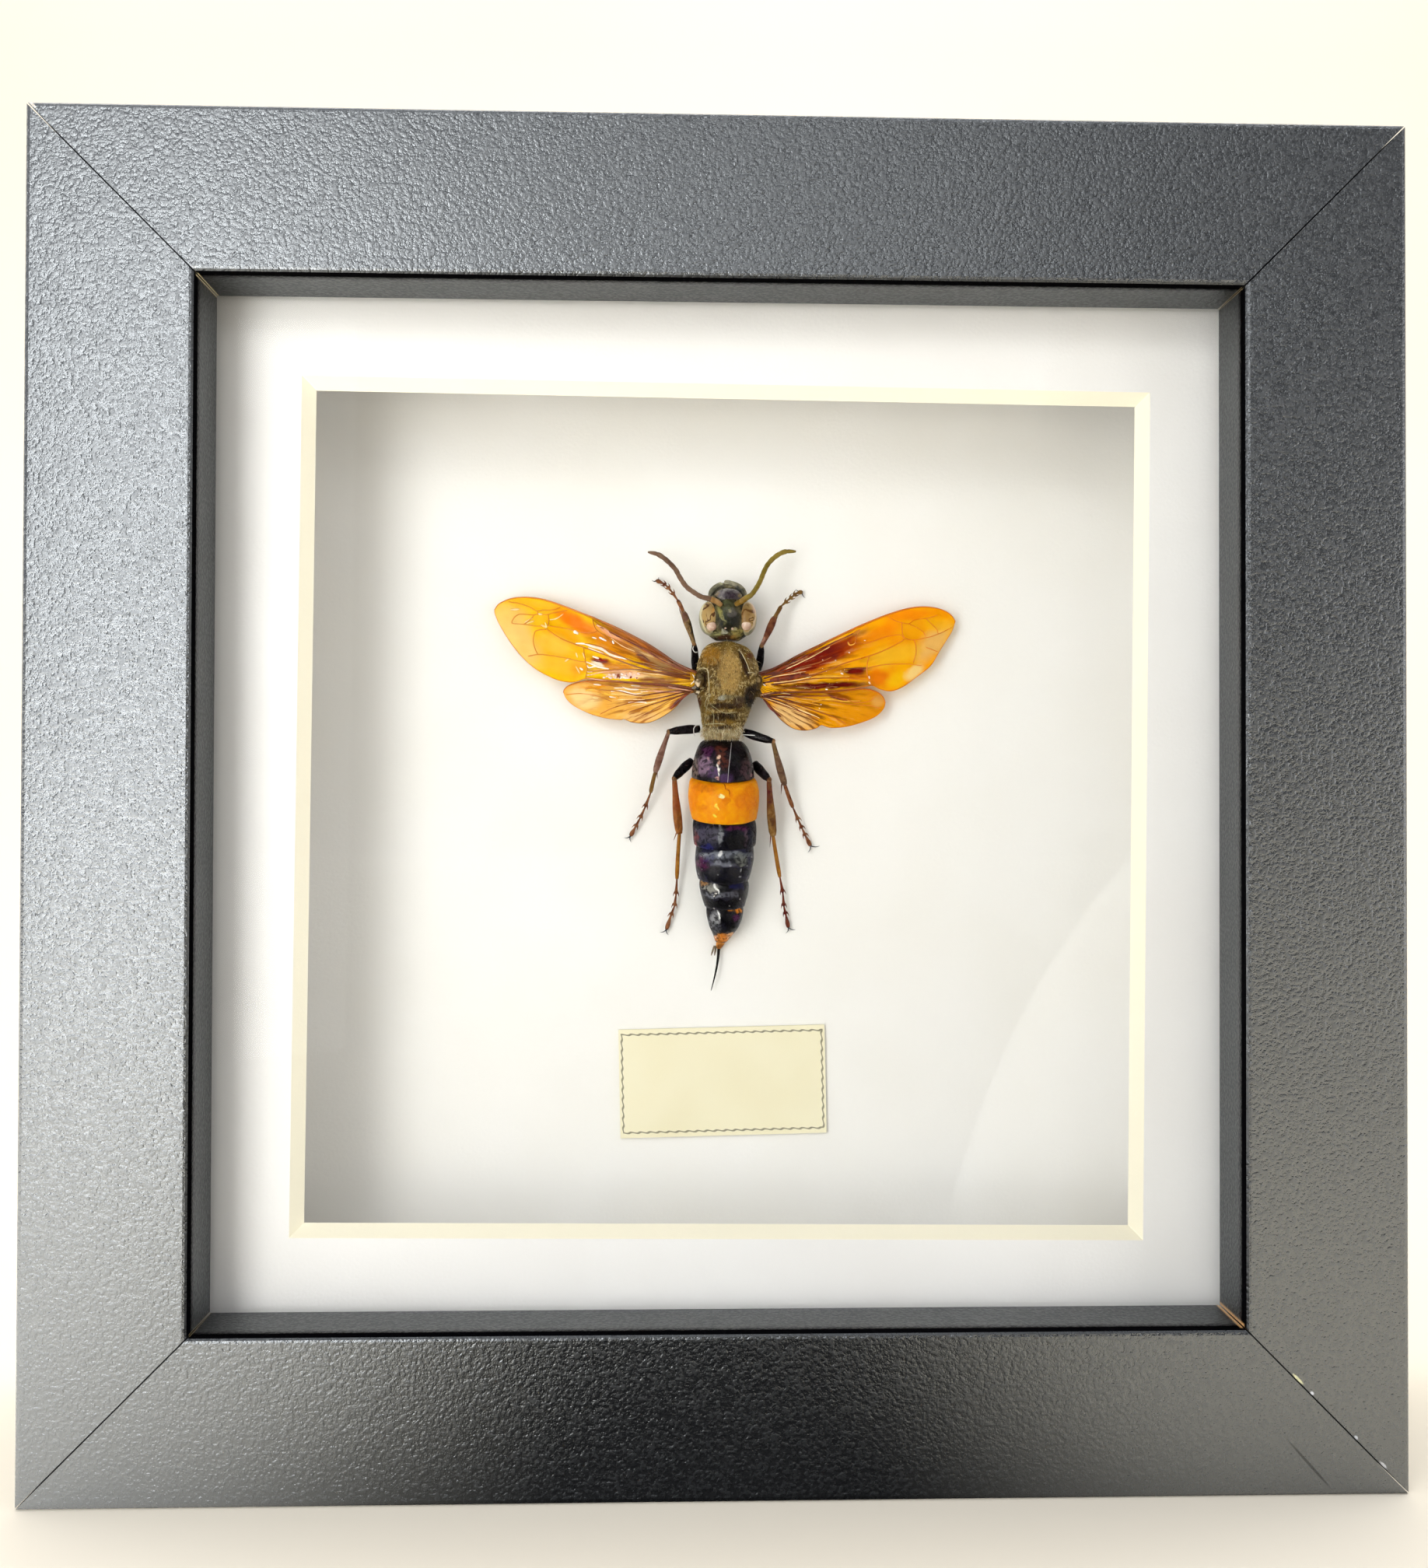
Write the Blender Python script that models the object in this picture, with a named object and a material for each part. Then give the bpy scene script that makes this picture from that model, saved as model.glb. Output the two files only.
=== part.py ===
"""Framed hornet specimen: a square black shadow box that stands on its bottom rail, with a spread hornet inside.

The front faces -Y, +X is to the right seen from the front, +Z is up, and the origin is at the middle of the
underside. Sizes and places below are in millimetres, and MM turns them into metres. A place inside the box is
(across, up, height): across and up are measured from the middle of the frame's face, and height is measured
forward from the white backing board.
"""

import math

import bmesh
import bpy
from mathutils import Matrix, Vector

MM = 0.001

# The box
SIDE = 150.0
DEPTH = 33.0
RAIL_FACE = 18.0
RAIL_WALL = 11.0
LIP_DEPTH = 7.2
OUTER_ROUND = 0.6
INNER_ROUND = 0.5
MITRE_GAP = 0.15

# The stack behind the lip, from the front to the back
GAP = 0.15
GLASS = 2.0
MAT = 1.4
WELL = 15.45
BACKING = 2.0
PANEL = 2.5
SPACER_WALL = 5.0

# The window in the mat board
WINDOW_WIDTH = 97.8
WINDOW_HEIGHT = 98.2
WINDOW_BEVEL = 1.3
WINDOW_SHIFT = (0.42, -0.75)
WINDOW_TURN = math.radians(-0.5)

# The label
LABEL_WIDTH = 26.2
LABEL_HEIGHT = 13.7
LABEL_THICK = 0.3
LABEL_PLACE = (0.85, -35.35)
LABEL_TURN = math.radians(1.35)

# The hardware at the back
TAB_LENGTH = 11.0
TAB_WIDTH = 6.0
TAB_THICK = 0.5
HANGER_WIDTH = 44.0
HANGER_HEIGHT = 7.0
HANGER_THICK = 0.6
HANGER_BOW = 0.7
HANGER_UP = 46.0
HANGER_TEETH = 9
TOOTH_PITCH = 2.4
TOOTH_DEPTH = 1.3
NAIL_HEAD = 1.7

# The specimen
WING_THICK = 0.16
REST = 0.25

FRONT_Y = -DEPTH / 2
MIDDLE_Z = SIDE / 2
GLASS_FRONT = LIP_DEPTH + GAP
MAT_FRONT = GLASS_FRONT + GLASS + GAP
BACKING_FRONT = MAT_FRONT + MAT + WELL
PANEL_FRONT = BACKING_FRONT + BACKING + GAP
PANEL_BACK = PANEL_FRONT + PANEL
SHEET_SIDE = SIDE - 2 * RAIL_WALL - 0.6

BLACK_PAINT = ("black_paint", (0.012, 0.012, 0.013), 0.45, 0.0)
CLEAR_GLASS = ("clear_glass", (0.9, 0.95, 0.95), 0.02, 0.0)
WHITE_CARD = ("white_card", (0.86, 0.85, 0.83), 0.8, 0.0)
BROWN_BOARD = ("brown_board", (0.25, 0.15, 0.08), 0.8, 0.0)
CREAM_PAPER = ("cream_paper", (0.86, 0.8, 0.62), 0.7, 0.0)
STEEL = ("steel", (0.55, 0.55, 0.56), 0.35, 1.0)
DARK_CUTICLE = ("dark_cuticle", (0.02, 0.015, 0.02), 0.3, 0.0)
HEAD_CUTICLE = ("head_cuticle", (0.2, 0.17, 0.12), 0.4, 0.0)
HAIRY_CUTICLE = ("hairy_cuticle", (0.13, 0.1, 0.05), 0.9, 0.0)
LEG_CUTICLE = ("leg_cuticle", (0.09, 0.05, 0.035), 0.45, 0.0)
AMBER_WING = ("amber_wing", (0.75, 0.32, 0.03), 0.3, 0.0)


def clear_scene():
    for obj in list(bpy.data.objects):
        bpy.data.objects.remove(obj, do_unlink=True)


def new_collection(name):
    collection = bpy.data.collections.new(name)
    bpy.context.scene.collection.children.link(collection)
    return collection


def get_material(kind):
    name, colour, roughness, metallic = kind
    material = bpy.data.materials.get(name)
    if material is None:
        material = bpy.data.materials.new(name)
        material.use_nodes = True
        shader = material.node_tree.nodes["Principled BSDF"]
        shader.inputs["Base Color"].default_value = (*colour, 1.0)
        shader.inputs["Roughness"].default_value = roughness
        shader.inputs["Metallic"].default_value = metallic
        material.diffuse_color = (*colour, 1.0)
    return material


def in_box(across, up, height):
    """A place in front of the backing board, in metres in the part's own frame."""
    return Vector((across, FRONT_Y + BACKING_FRONT - height, MIDDLE_Z + up)) * MM


def at_depth(across, up, depth):
    """A place measured back from the frame's face, in metres."""
    return Vector((across, FRONT_Y + depth, MIDDLE_Z + up)) * MM


def object_from_bmesh(name, bm, kind, smooth_below=30.0):
    mesh = bpy.data.meshes.new(name)
    bm.to_mesh(mesh)
    bm.free()
    mesh.materials.append(get_material(kind))
    mesh.shade_smooth()
    mesh.set_sharp_from_angle(angle=math.radians(smooth_below))
    obj = bpy.data.objects.new(name, mesh)
    PARTS.objects.link(obj)
    return obj


def add_board(name, size, centre, kind):
    """A plain sheet or strip: size is across, front to back, and up."""
    bm = bmesh.new()
    bmesh.ops.create_cube(bm, size=1.0, matrix=Matrix.Diagonal((*(Vector(size) * MM), 1.0)))
    board = object_from_bmesh(name, bm, kind)
    board.location = centre
    return board


def flat_outline(name, points, thickness, kind, rounded=False):
    """A flat sheet cut to an outline in its own XY plane, half its thickness to either side."""
    curve = bpy.data.curves.new(name, "CURVE")
    curve.dimensions = "2D"
    curve.fill_mode = "BOTH"
    curve.extrude = thickness * MM / 2
    curve.resolution_u = 4
    curve.render_resolution_u = 0
    if rounded:
        spline = curve.splines.new("BEZIER")
        spline.bezier_points.add(len(points) - 1)
        for knot, (x, y) in zip(spline.bezier_points, points):
            knot.co = (x * MM, y * MM, 0.0)
            knot.handle_left_type = "AUTO"
            knot.handle_right_type = "AUTO"
    else:
        spline = curve.splines.new("POLY")
        spline.points.add(len(points) - 1)
        for knot, (x, y) in zip(spline.points, points):
            knot.co = (x * MM, y * MM, 0.0, 1.0)
    spline.use_cyclic_u = True
    curve.materials.append(get_material(kind))
    obj = bpy.data.objects.new(name, curve)
    PARTS.objects.link(obj)
    return obj


def outline_to_bmesh(obj):
    """The outline's sheet as a welded mesh, and the curve object removed."""
    bpy.context.view_layer.update()
    graph = bpy.context.evaluated_depsgraph_get()
    mesh = bpy.data.meshes.new_from_object(obj.evaluated_get(graph))
    bm = bmesh.new()
    bm.from_mesh(mesh)
    bmesh.ops.remove_doubles(bm, verts=bm.verts, dist=0.001 * MM)
    curve = obj.data
    bpy.data.objects.remove(obj, do_unlink=True)
    bpy.data.curves.remove(curve)
    bpy.data.meshes.remove(mesh)
    return bm


def add_loft(name, rings, sides, kind):
    """A closed body through oval rings. Each ring is its centre, its side half axis and its front half axis."""
    bm = bmesh.new()
    loops = []
    for centre, side, front in rings:
        across = side.cross(front).normalized()
        place = Matrix((side, front, across)).transposed().to_4x4()
        place.translation = centre
        made = bmesh.ops.create_circle(bm, cap_ends=False, segments=sides, radius=1.0, matrix=place)
        loops.append(list({edge for vert in made["verts"] for edge in vert.link_edges}))
    for first, second in zip(loops, loops[1:]):
        bmesh.ops.bridge_loops(bm, edges=first + second)
    bmesh.ops.holes_fill(bm, edges=[edge for edge in bm.edges if edge.is_boundary], sides=0)
    bmesh.ops.recalc_face_normals(bm, faces=bm.faces)
    return object_from_bmesh(name, bm, kind, smooth_below=50.0)


def arc(centre_x, centre_y, radius, start, end, steps=3):
    """Points along a round corner, with angles in degrees."""
    points = []
    for step in range(steps + 1):
        angle = math.radians(start + (end - start) * step / steps)
        points.append((centre_x + radius * math.cos(angle), centre_y + radius * math.sin(angle)))
    return points


def rail_section():
    """The moulding's section as (inward, back) from its outer front corner: a wide face, a lip and a rabbet."""
    points = arc(OUTER_ROUND, OUTER_ROUND, OUTER_ROUND, 180, 270)
    points += arc(RAIL_FACE - INNER_ROUND, INNER_ROUND, INNER_ROUND, 270, 360)
    points += [(RAIL_FACE, LIP_DEPTH), (RAIL_WALL, LIP_DEPTH), (RAIL_WALL, DEPTH), (0.0, DEPTH)]
    return points


def add_rails():
    """Four equal rails: one moulding cut at 45 degrees at both ends, and turned a quarter for each side."""
    section = [(inward - SIDE / 2, FRONT_Y + back) for inward, back in rail_section()]
    bm = outline_to_bmesh(flat_outline("moulding", section, SIDE + 4.0, BLACK_PAINT))
    for end in (1.0, -1.0):
        cut_normal = Vector((1.0, 0.0, end)).normalized()
        cut_place = -cut_normal * MITRE_GAP * MM / 2
        everything = bm.verts[:] + bm.edges[:] + bm.faces[:]
        bmesh.ops.bisect_plane(bm, geom=everything, plane_co=cut_place, plane_no=cut_normal, clear_outer=True)
        bmesh.ops.holes_fill(bm, edges=[edge for edge in bm.edges if edge.is_boundary], sides=0)
    bmesh.ops.recalc_face_normals(bm, faces=bm.faces)
    left = object_from_bmesh("rail_left", bm, BLACK_PAINT)
    left.location = (0.0, 0.0, MIDDLE_Z * MM)
    for quarter, name in enumerate(("rail_top", "rail_right", "rail_bottom"), start=1):
        rail = bpy.data.objects.new(name, left.data)
        PARTS.objects.link(rail)
        rail.location = left.location
        rail.rotation_euler.y = quarter * math.pi / 2


def add_window_cutter():
    """The mat's window as a solid: a box that narrows towards the back, so that the cut edge is bevelled."""
    over = 1.0
    slope = WINDOW_BEVEL / MAT
    bm = bmesh.new()
    bmesh.ops.create_cube(bm, size=2.0)
    for vert in bm.verts:
        back = vert.co.y > 0
        narrowing = slope * (MAT + over) if back else -slope * over
        vert.co.x *= (WINDOW_WIDTH / 2 - narrowing) * MM
        vert.co.z *= (WINDOW_HEIGHT / 2 - narrowing) * MM
        vert.co.y = (MAT + over if back else -over) * MM
    mesh = bpy.data.meshes.new("window_cutter")
    bm.to_mesh(mesh)
    bm.free()
    cutter = bpy.data.objects.new("window_cutter", mesh)
    CUTTERS.objects.link(cutter)
    cutter.location = at_depth(*WINDOW_SHIFT, MAT_FRONT)
    cutter.rotation_euler.y = -WINDOW_TURN
    cutter.hide_render = True
    cutter.display_type = "WIRE"
    return cutter


def add_sheets():
    """Everything that lies flat in the rabbet: glass, mat, backing and the closing panel."""
    add_board(
        "glass_pane",
        (SHEET_SIDE, GLASS, SHEET_SIDE),
        at_depth(0, 0, GLASS_FRONT + GLASS / 2),
        CLEAR_GLASS,
    )
    mat = add_board(
        "mat_board",
        (SHEET_SIDE, MAT, SHEET_SIDE),
        at_depth(0, 0, MAT_FRONT + MAT / 2),
        WHITE_CARD,
    )
    cut = mat.modifiers.new("window", "BOOLEAN")
    cut.operation = "DIFFERENCE"
    cut.solver = "EXACT"
    cut.object = add_window_cutter()
    add_board(
        "backing_board",
        (SHEET_SIDE, BACKING, SHEET_SIDE),
        at_depth(0, 0, BACKING_FRONT + BACKING / 2),
        WHITE_CARD,
    )
    add_board(
        "back_panel",
        (SHEET_SIDE, PANEL, SHEET_SIDE),
        at_depth(0, 0, PANEL_FRONT + PANEL / 2),
        BROWN_BOARD,
    )


def add_spacers():
    """Four strips that hold the mat off the backing: two full width, and two between them."""
    depth = WELL - 2 * GAP
    middle = BACKING_FRONT - GAP - depth / 2
    reach = (SHEET_SIDE - SPACER_WALL) / 2
    short = SHEET_SIDE - 2 * SPACER_WALL - 2 * GAP
    for name, side in (("spacer_top", 1), ("spacer_bottom", -1)):
        size = (SHEET_SIDE, depth, SPACER_WALL)
        add_board(name, size, at_depth(0, side * reach, middle), WHITE_CARD)
    for name, side in (("spacer_right", 1), ("spacer_left", -1)):
        add_board(name, (SPACER_WALL, depth, short), at_depth(side * reach, 0, middle), WHITE_CARD)


def add_label():
    size = (LABEL_WIDTH, LABEL_THICK, LABEL_HEIGHT)
    label = add_board("label", size, in_box(*LABEL_PLACE, GAP + LABEL_THICK / 2), CREAM_PAPER)
    label.rotation_euler.y = -LABEL_TURN


def hanger_outline():
    """A strip with round ends, and teeth along the middle of its lower edge."""
    half = HANGER_WIDTH / 2
    radius = HANGER_HEIGHT / 2
    points = arc(half - radius, 0, radius, -90, 90, steps=6)
    points += [(half - 6.0, radius), (half - 8.0, radius), (8.0 - half, radius), (6.0 - half, radius)]
    points += arc(radius - half, 0, radius, 90, 270, steps=6)
    points += [(6.0 - half, -radius), (8.0 - half, -radius)]
    for tooth in range(HANGER_TEETH):
        start = (tooth - HANGER_TEETH / 2) * TOOTH_PITCH
        points += [(start, -radius), (start + TOOTH_PITCH / 2, TOOTH_DEPTH - radius)]
    points += [(HANGER_TEETH / 2 * TOOTH_PITCH, -radius), (half - 8.0, -radius), (half - 6.0, -radius)]
    return points


def add_hanger():
    """A sawtooth hanger on the closing panel: its ends lie flat, and its middle stands off to take a nail."""
    bm = outline_to_bmesh(flat_outline("hanger_blank", hanger_outline(), HANGER_THICK, STEEL))
    for vert in bm.verts:
        if abs(vert.co.x) < (HANGER_WIDTH / 2 - 7.0) * MM:
            vert.co.z += HANGER_BOW * MM
    bmesh.ops.recalc_face_normals(bm, faces=bm.faces)
    hanger = object_from_bmesh("sawtooth_hanger", bm, STEEL)
    hanger.location = at_depth(0, HANGER_UP, PANEL_BACK + GAP + HANGER_THICK / 2)
    hanger.rotation_euler = (-math.pi / 2, 0.0, 0.0)
    hanger.rotation_euler.y = math.pi
    for name, side in (("hanger_nail_right", 1), ("hanger_nail_left", -1)):
        place = at_depth(
            side * (HANGER_WIDTH / 2 - HANGER_HEIGHT / 2),
            HANGER_UP,
            PANEL_BACK + GAP + HANGER_THICK + GAP,
        )
        add_nail_head(name, place)


def add_nail_head(name, place):
    """The domed head of the small nail that holds one end of the hanger."""
    bm = bmesh.new()
    bmesh.ops.create_cone(
        bm,
        cap_ends=True,
        segments=20,
        radius1=NAIL_HEAD * MM,
        radius2=0.6 * NAIL_HEAD * MM,
        depth=0.6 * MM,
        matrix=Matrix.Translation((0.0, 0.0, 0.3 * MM)),
    )
    head = object_from_bmesh(name, bm, STEEL)
    head.location = place
    head.rotation_euler.x = -math.pi / 2


def add_tabs():
    """Four bendable tabs, one in each rail, that hold the closing panel in."""
    reach = SIDE / 2 - RAIL_WALL - GAP
    half = TAB_WIDTH / 2
    shoulder = reach - TAB_LENGTH + half
    outline = [(reach, -half), (reach, half)] + arc(shoulder, 0, half, 90, 270, steps=8)
    for quarter, name in enumerate(("tab_right", "tab_bottom", "tab_left", "tab_top")):
        tab = flat_outline(name, outline, TAB_THICK, STEEL)
        tab.location = at_depth(0, 0, PANEL_BACK + GAP + TAB_THICK / 2)
        tab.rotation_mode = "QUATERNION"
        tab.rotation_quaternion = (
            Matrix.Rotation(quarter * math.pi / 2, 3, "Y") @ Matrix.Rotation(math.pi / 2, 3, "X")
        ).to_quaternion()


def body_rings(stations, lean=0.0):
    """Oval rings across the body from (up, across, half width, half thickness, height) stations.

    lean slides the near side of each ring down, as on segments that droop towards the tail.
    """
    rings = []
    for up, across, half_width, half_thick, height in stations:
        side = Vector((half_width, 0.0, 0.0)) * MM
        front = Vector((0.0, -half_thick, -lean * half_thick)) * MM
        rings.append((in_box(across, up, height), side, front))
    return rings


def add_oval(name, place, half_sizes):
    """An oval lump that is joined to a body. It stays out of the list of parts."""
    bm = bmesh.new()
    sizes = Vector((half_sizes[0], half_sizes[2], half_sizes[1])) * MM
    bmesh.ops.create_uvsphere(bm, u_segments=16, v_segments=10, radius=1.0, matrix=Matrix.Diagonal((*sizes, 1.0)))
    mesh = bpy.data.meshes.new(name)
    bm.to_mesh(mesh)
    bm.free()
    lump = bpy.data.objects.new(name, mesh)
    CUTTERS.objects.link(lump)
    lump.location = in_box(*place)
    lump.hide_render = True
    lump.display_type = "WIRE"
    return lump


def join_lumps(obj, lumps):
    for lump in lumps:
        join = obj.modifiers.new(lump.name, "BOOLEAN")
        join.operation = "UNION"
        join.solver = "EXACT"
        join.object = lump


def add_head():
    """A flattened ball with a domed face at the top and an eye bulging on either side."""
    stations = [
        (27.7, 1.15, 0.5, 0.4, 3.2),
        (27.35, 1.15, 1.25, 1.0, 3.3),
        (26.7, 1.12, 1.85, 1.6, 3.5),
        (25.9, 1.1, 2.35, 2.1, 3.7),
        (25.0, 1.12, 2.65, 2.45, 3.85),
        (23.9, 1.18, 2.9, 2.6, 3.9),
        (22.7, 1.2, 3.0, 2.55, 3.9),
        (21.7, 1.2, 2.9, 2.3, 3.75),
        (20.9, 1.2, 2.45, 1.8, 3.6),
        (20.4, 1.2, 1.6, 1.2, 3.5),
    ]
    head = add_loft("head", body_rings(stations), 20, HEAD_CUTICLE)
    eyes = [
        add_oval("eye_left_lump", (-1.0, 23.05, 4.0), (1.42, 2.3, 2.2)),
        add_oval("eye_right_lump", (3.4, 23.05, 4.0), (1.42, 2.3, 2.2)),
    ]
    join_lumps(head, eyes)


def add_thorax():
    """The hairy middle of the body, widest at the wing roots and narrowing to the waist."""
    stations = [
        (20.15, 1.0, 0.9, 0.7, 3.7),
        (19.8, 1.0, 2.1, 1.6, 3.7),
        (19.1, 1.05, 2.95, 2.4, 3.75),
        (17.9, 1.15, 3.5, 3.1, 3.85),
        (16.4, 1.25, 3.8, 3.55, 3.85),
        (14.9, 1.3, 3.9, 3.6, 3.85),
        (13.7, 1.2, 3.7, 3.55, 3.8),
        (12.5, 1.05, 3.3, 3.2, 3.6),
        (11.2, 0.85, 2.85, 2.7, 3.3),
        (9.9, 0.7, 2.5, 2.25, 3.0),
        (8.8, 0.6, 2.4, 1.9, 2.75),
        (8.15, 0.6, 2.0, 1.5, 2.6),
        (7.95, 0.6, 1.3, 1.0, 2.55),
    ]
    thorax = add_loft("thorax", body_rings(stations), 24, HAIRY_CUTICLE)
    tegulae = [
        add_oval("tegula_left_lump", (-2.3, 15.2, 5.1), (0.8, 1.15, 0.85)),
        add_oval("tegula_right_lump", (4.8, 15.1, 5.1), (0.75, 1.15, 0.85)),
    ]
    join_lumps(thorax, tegulae)


def abdomen_stations():
    """Six overlapping segments. Each starts a step narrower than the one before it ends.

    A segment is its list of (up, across, half width).
    """
    segments = [
        [(7.55, 0.6, 1.3), (7.3, 0.6, 2.15), (6.7, 0.6, 2.75), (5.4, 0.65, 3.35), (3.1, 0.7, 3.93)],
        [(3.0, 0.7, 3.8), (2.6, 0.72, 4.15), (0.9, 0.8, 4.43), (-0.6, 0.83, 4.33), (-2.0, 0.86, 4.08)],
        [(-2.1, 0.86, 3.85), (-3.5, 0.9, 3.98), (-5.2, 0.93, 3.83)],
        [(-5.3, 0.93, 3.58), (-7.0, 0.88, 3.7), (-8.4, 0.86, 3.5), (-9.4, 0.84, 3.22)],
        [(-9.5, 0.84, 3.02), (-10.6, 0.88, 3.1), (-12.8, 0.98, 2.55)],
        [(-12.9, 0.98, 2.4), (-14.2, 0.98, 2.3), (-15.6, 0.9, 1.85), (-16.8, 0.72, 1.15), (-17.7, 0.5, 0.55)],
        [(-18.45, 0.33, 0.3)],
    ]
    stations = []
    for segment in segments:
        for up, across, half_width in segment:
            half_thick = 0.88 * half_width
            stations.append((up, across, half_width, half_thick, REST + half_thick))
    return stations


def add_abdomen():
    add_loft("abdomen", body_rings(abdomen_stations(), lean=0.2), 28, DARK_CUTICLE)


def tube_rings(points, radii):
    """Round rings along a path in the box, each square to the path's direction there."""
    places = [in_box(*point) for point in points]
    toward_viewer = Vector((0.0, -1.0, 0.0))
    rings = []
    for index, place in enumerate(places):
        before = places[max(index - 1, 0)]
        after = places[min(index + 1, len(places) - 1)]
        direction = (place - before).normalized() + (after - place).normalized()
        direction.normalize()
        side = direction.cross(toward_viewer).normalized()
        front = side.cross(direction).normalized()
        rings.append((place, side * radii[index] * MM, front * radii[index] * MM))
    return rings


def add_sting():
    points = [(0.3, -18.75, 0.7), (0.2, -19.6, 0.85), (-0.03, -21.1, 0.95), (-0.35, -22.5, 0.95), (-0.67, -23.75, 0.85)]
    add_loft("sting", tube_rings(points, [0.17, 0.15, 0.12, 0.09, 0.05]), 8, DARK_CUTICLE)


def between(first, second, share):
    return tuple(a + (b - a) * share for a, b in zip(first, second))


def add_antenna(name, points):
    """A stout first joint, then a whip of even thickness that thins a little at its tip."""
    radii = [0.3, 0.36, 0.38] + [0.32] * (len(points) - 5) + [0.29, 0.22]
    add_loft(name, tube_rings(points, radii), 10, LEG_CUTICLE)


def add_antennae():
    add_antenna(
        "antenna_left",
        [
            (-0.15, 25.0, 6.85),
            (-1.05, 25.3, 6.8),
            (-2.0, 25.55, 6.3),
            (-3.0, 26.0, 5.6),
            (-4.0, 26.85, 4.9),
            (-4.8, 28.1, 4.2),
            (-5.4, 29.25, 3.6),
            (-6.5, 30.45, 3.1),
            (-7.55, 31.2, 2.8),
            (-8.7, 31.5, 2.6),
        ],
    )
    add_antenna(
        "antenna_right",
        [
            (2.55, 24.9, 6.85),
            (3.2, 25.3, 6.8),
            (3.95, 25.75, 6.3),
            (4.65, 26.6, 5.6),
            (5.2, 27.65, 4.9),
            (5.65, 28.8, 4.2),
            (6.2, 29.9, 3.6),
            (7.15, 30.95, 3.1),
            (8.35, 31.65, 2.8),
            (9.7, 31.75, 2.6),
        ],
    )


def add_leg(name, hip, knee, ankle, joints, femur, tibia):
    """A leg through its hip, knee and ankle, then five small foot joints that each flare at the end.

    femur and tibia are the thickest radii of those two segments.
    """
    points = [hip, between(hip, knee, 0.35), between(hip, knee, 0.8), knee]
    radii = [0.75 * femur, femur, 0.85 * femur, 0.72 * femur]
    points += [between(knee, ankle, 0.12), between(knee, ankle, 0.72), between(knee, ankle, 0.93), ankle]
    radii += [0.62 * tibia, tibia, 0.95 * tibia, 0.6 * tibia]
    start = ankle
    for number, end in enumerate(joints):
        flare = 0.27 if number else 0.25
        points += [between(start, end, 0.12), between(start, end, 0.9)]
        radii += [0.17, flare]
        start = end
    points.append(joints[-1])
    radii.append(0.12)
    add_loft(name, tube_rings(points, radii), 10, LEG_CUTICLE)


def add_legs():
    add_leg(
        "leg_fore_left",
        (-2.85, 16.9, 1.7),
        (-3.0, 19.75, 4.2),
        (-4.35, 23.95, 2.9),
        [(-5.05, 25.55, 2.0), (-5.8, 26.7, 1.5), (-6.4, 27.45, 1.1), (-6.9, 27.85, 0.9), (-7.75, 28.3, 0.55)],
        femur=0.46,
        tibia=0.42,
    )
    add_leg(
        "leg_fore_right",
        (5.15, 16.9, 1.7),
        (5.4, 19.6, 4.2),
        (7.1, 23.35, 2.9),
        [(8.0, 24.9, 2.0), (8.85, 25.7, 1.5), (9.5, 26.25, 1.1), (10.0, 26.7, 0.9), (10.8, 27.0, 0.55)],
        femur=0.46,
        tibia=0.42,
    )
    add_leg(
        "leg_mid_left",
        (-2.3, 9.3, 2.9),
        (-6.1, 8.85, 4.3),
        (-7.8, 3.9, 2.3),
        [(-8.4, 1.3, 1.4), (-9.1, -0.55, 1.0), (-9.75, -1.95, 0.8), (-10.35, -3.1, 0.65), (-10.95, -4.2, 0.5)],
        femur=0.5,
        tibia=0.4,
    )
    add_leg(
        "leg_mid_right",
        (3.3, 8.95, 2.9),
        (6.85, 7.75, 4.3),
        (8.5, 2.35, 2.3),
        [(9.6, -0.5, 1.4), (10.35, -2.15, 1.0), (10.85, -3.2, 0.8), (11.3, -4.15, 0.65), (11.95, -5.4, 0.5)],
        femur=0.52,
        tibia=0.42,
    )
    add_leg(
        "leg_hind_left",
        (-3.25, 5.3, 1.6),
        (-5.4, 3.05, 3.9),
        (-4.75, -3.85, 2.3),
        [(-5.05, -9.6, 1.2), (-5.15, -11.6, 0.9), (-5.35, -13.1, 0.75), (-5.8, -14.3, 0.65), (-6.35, -16.05, 0.5)],
        femur=0.55,
        tibia=0.5,
    )
    add_leg(
        "leg_hind_right",
        (4.75, 5.0, 1.6),
        (6.4, 2.95, 3.9),
        (7.05, -4.1, 2.3),
        [(8.0, -9.35, 1.2), (8.4, -11.35, 0.9), (8.55, -13.1, 0.75), (8.8, -14.15, 0.65), (9.15, -15.8, 0.5)],
        femur=0.55,
        tibia=0.5,
    )


def add_wing(name, outline, root_across, root_height, droop):
    """A flat wing through its outline of (across, up), hinged down from its root by droop, in degrees."""
    outward = 1.0 if outline[len(outline) // 2][0] > root_across else -1.0
    stretch = 1.0 / math.cos(math.radians(droop))
    points = [((across - root_across) * stretch, up) for across, up in outline]
    wing = flat_outline(name, points, WING_THICK, AMBER_WING, rounded=True)
    wing.location = in_box(root_across, 0.0, root_height)
    wing.rotation_euler = (math.pi / 2, 0.0, outward * math.radians(droop))


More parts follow.
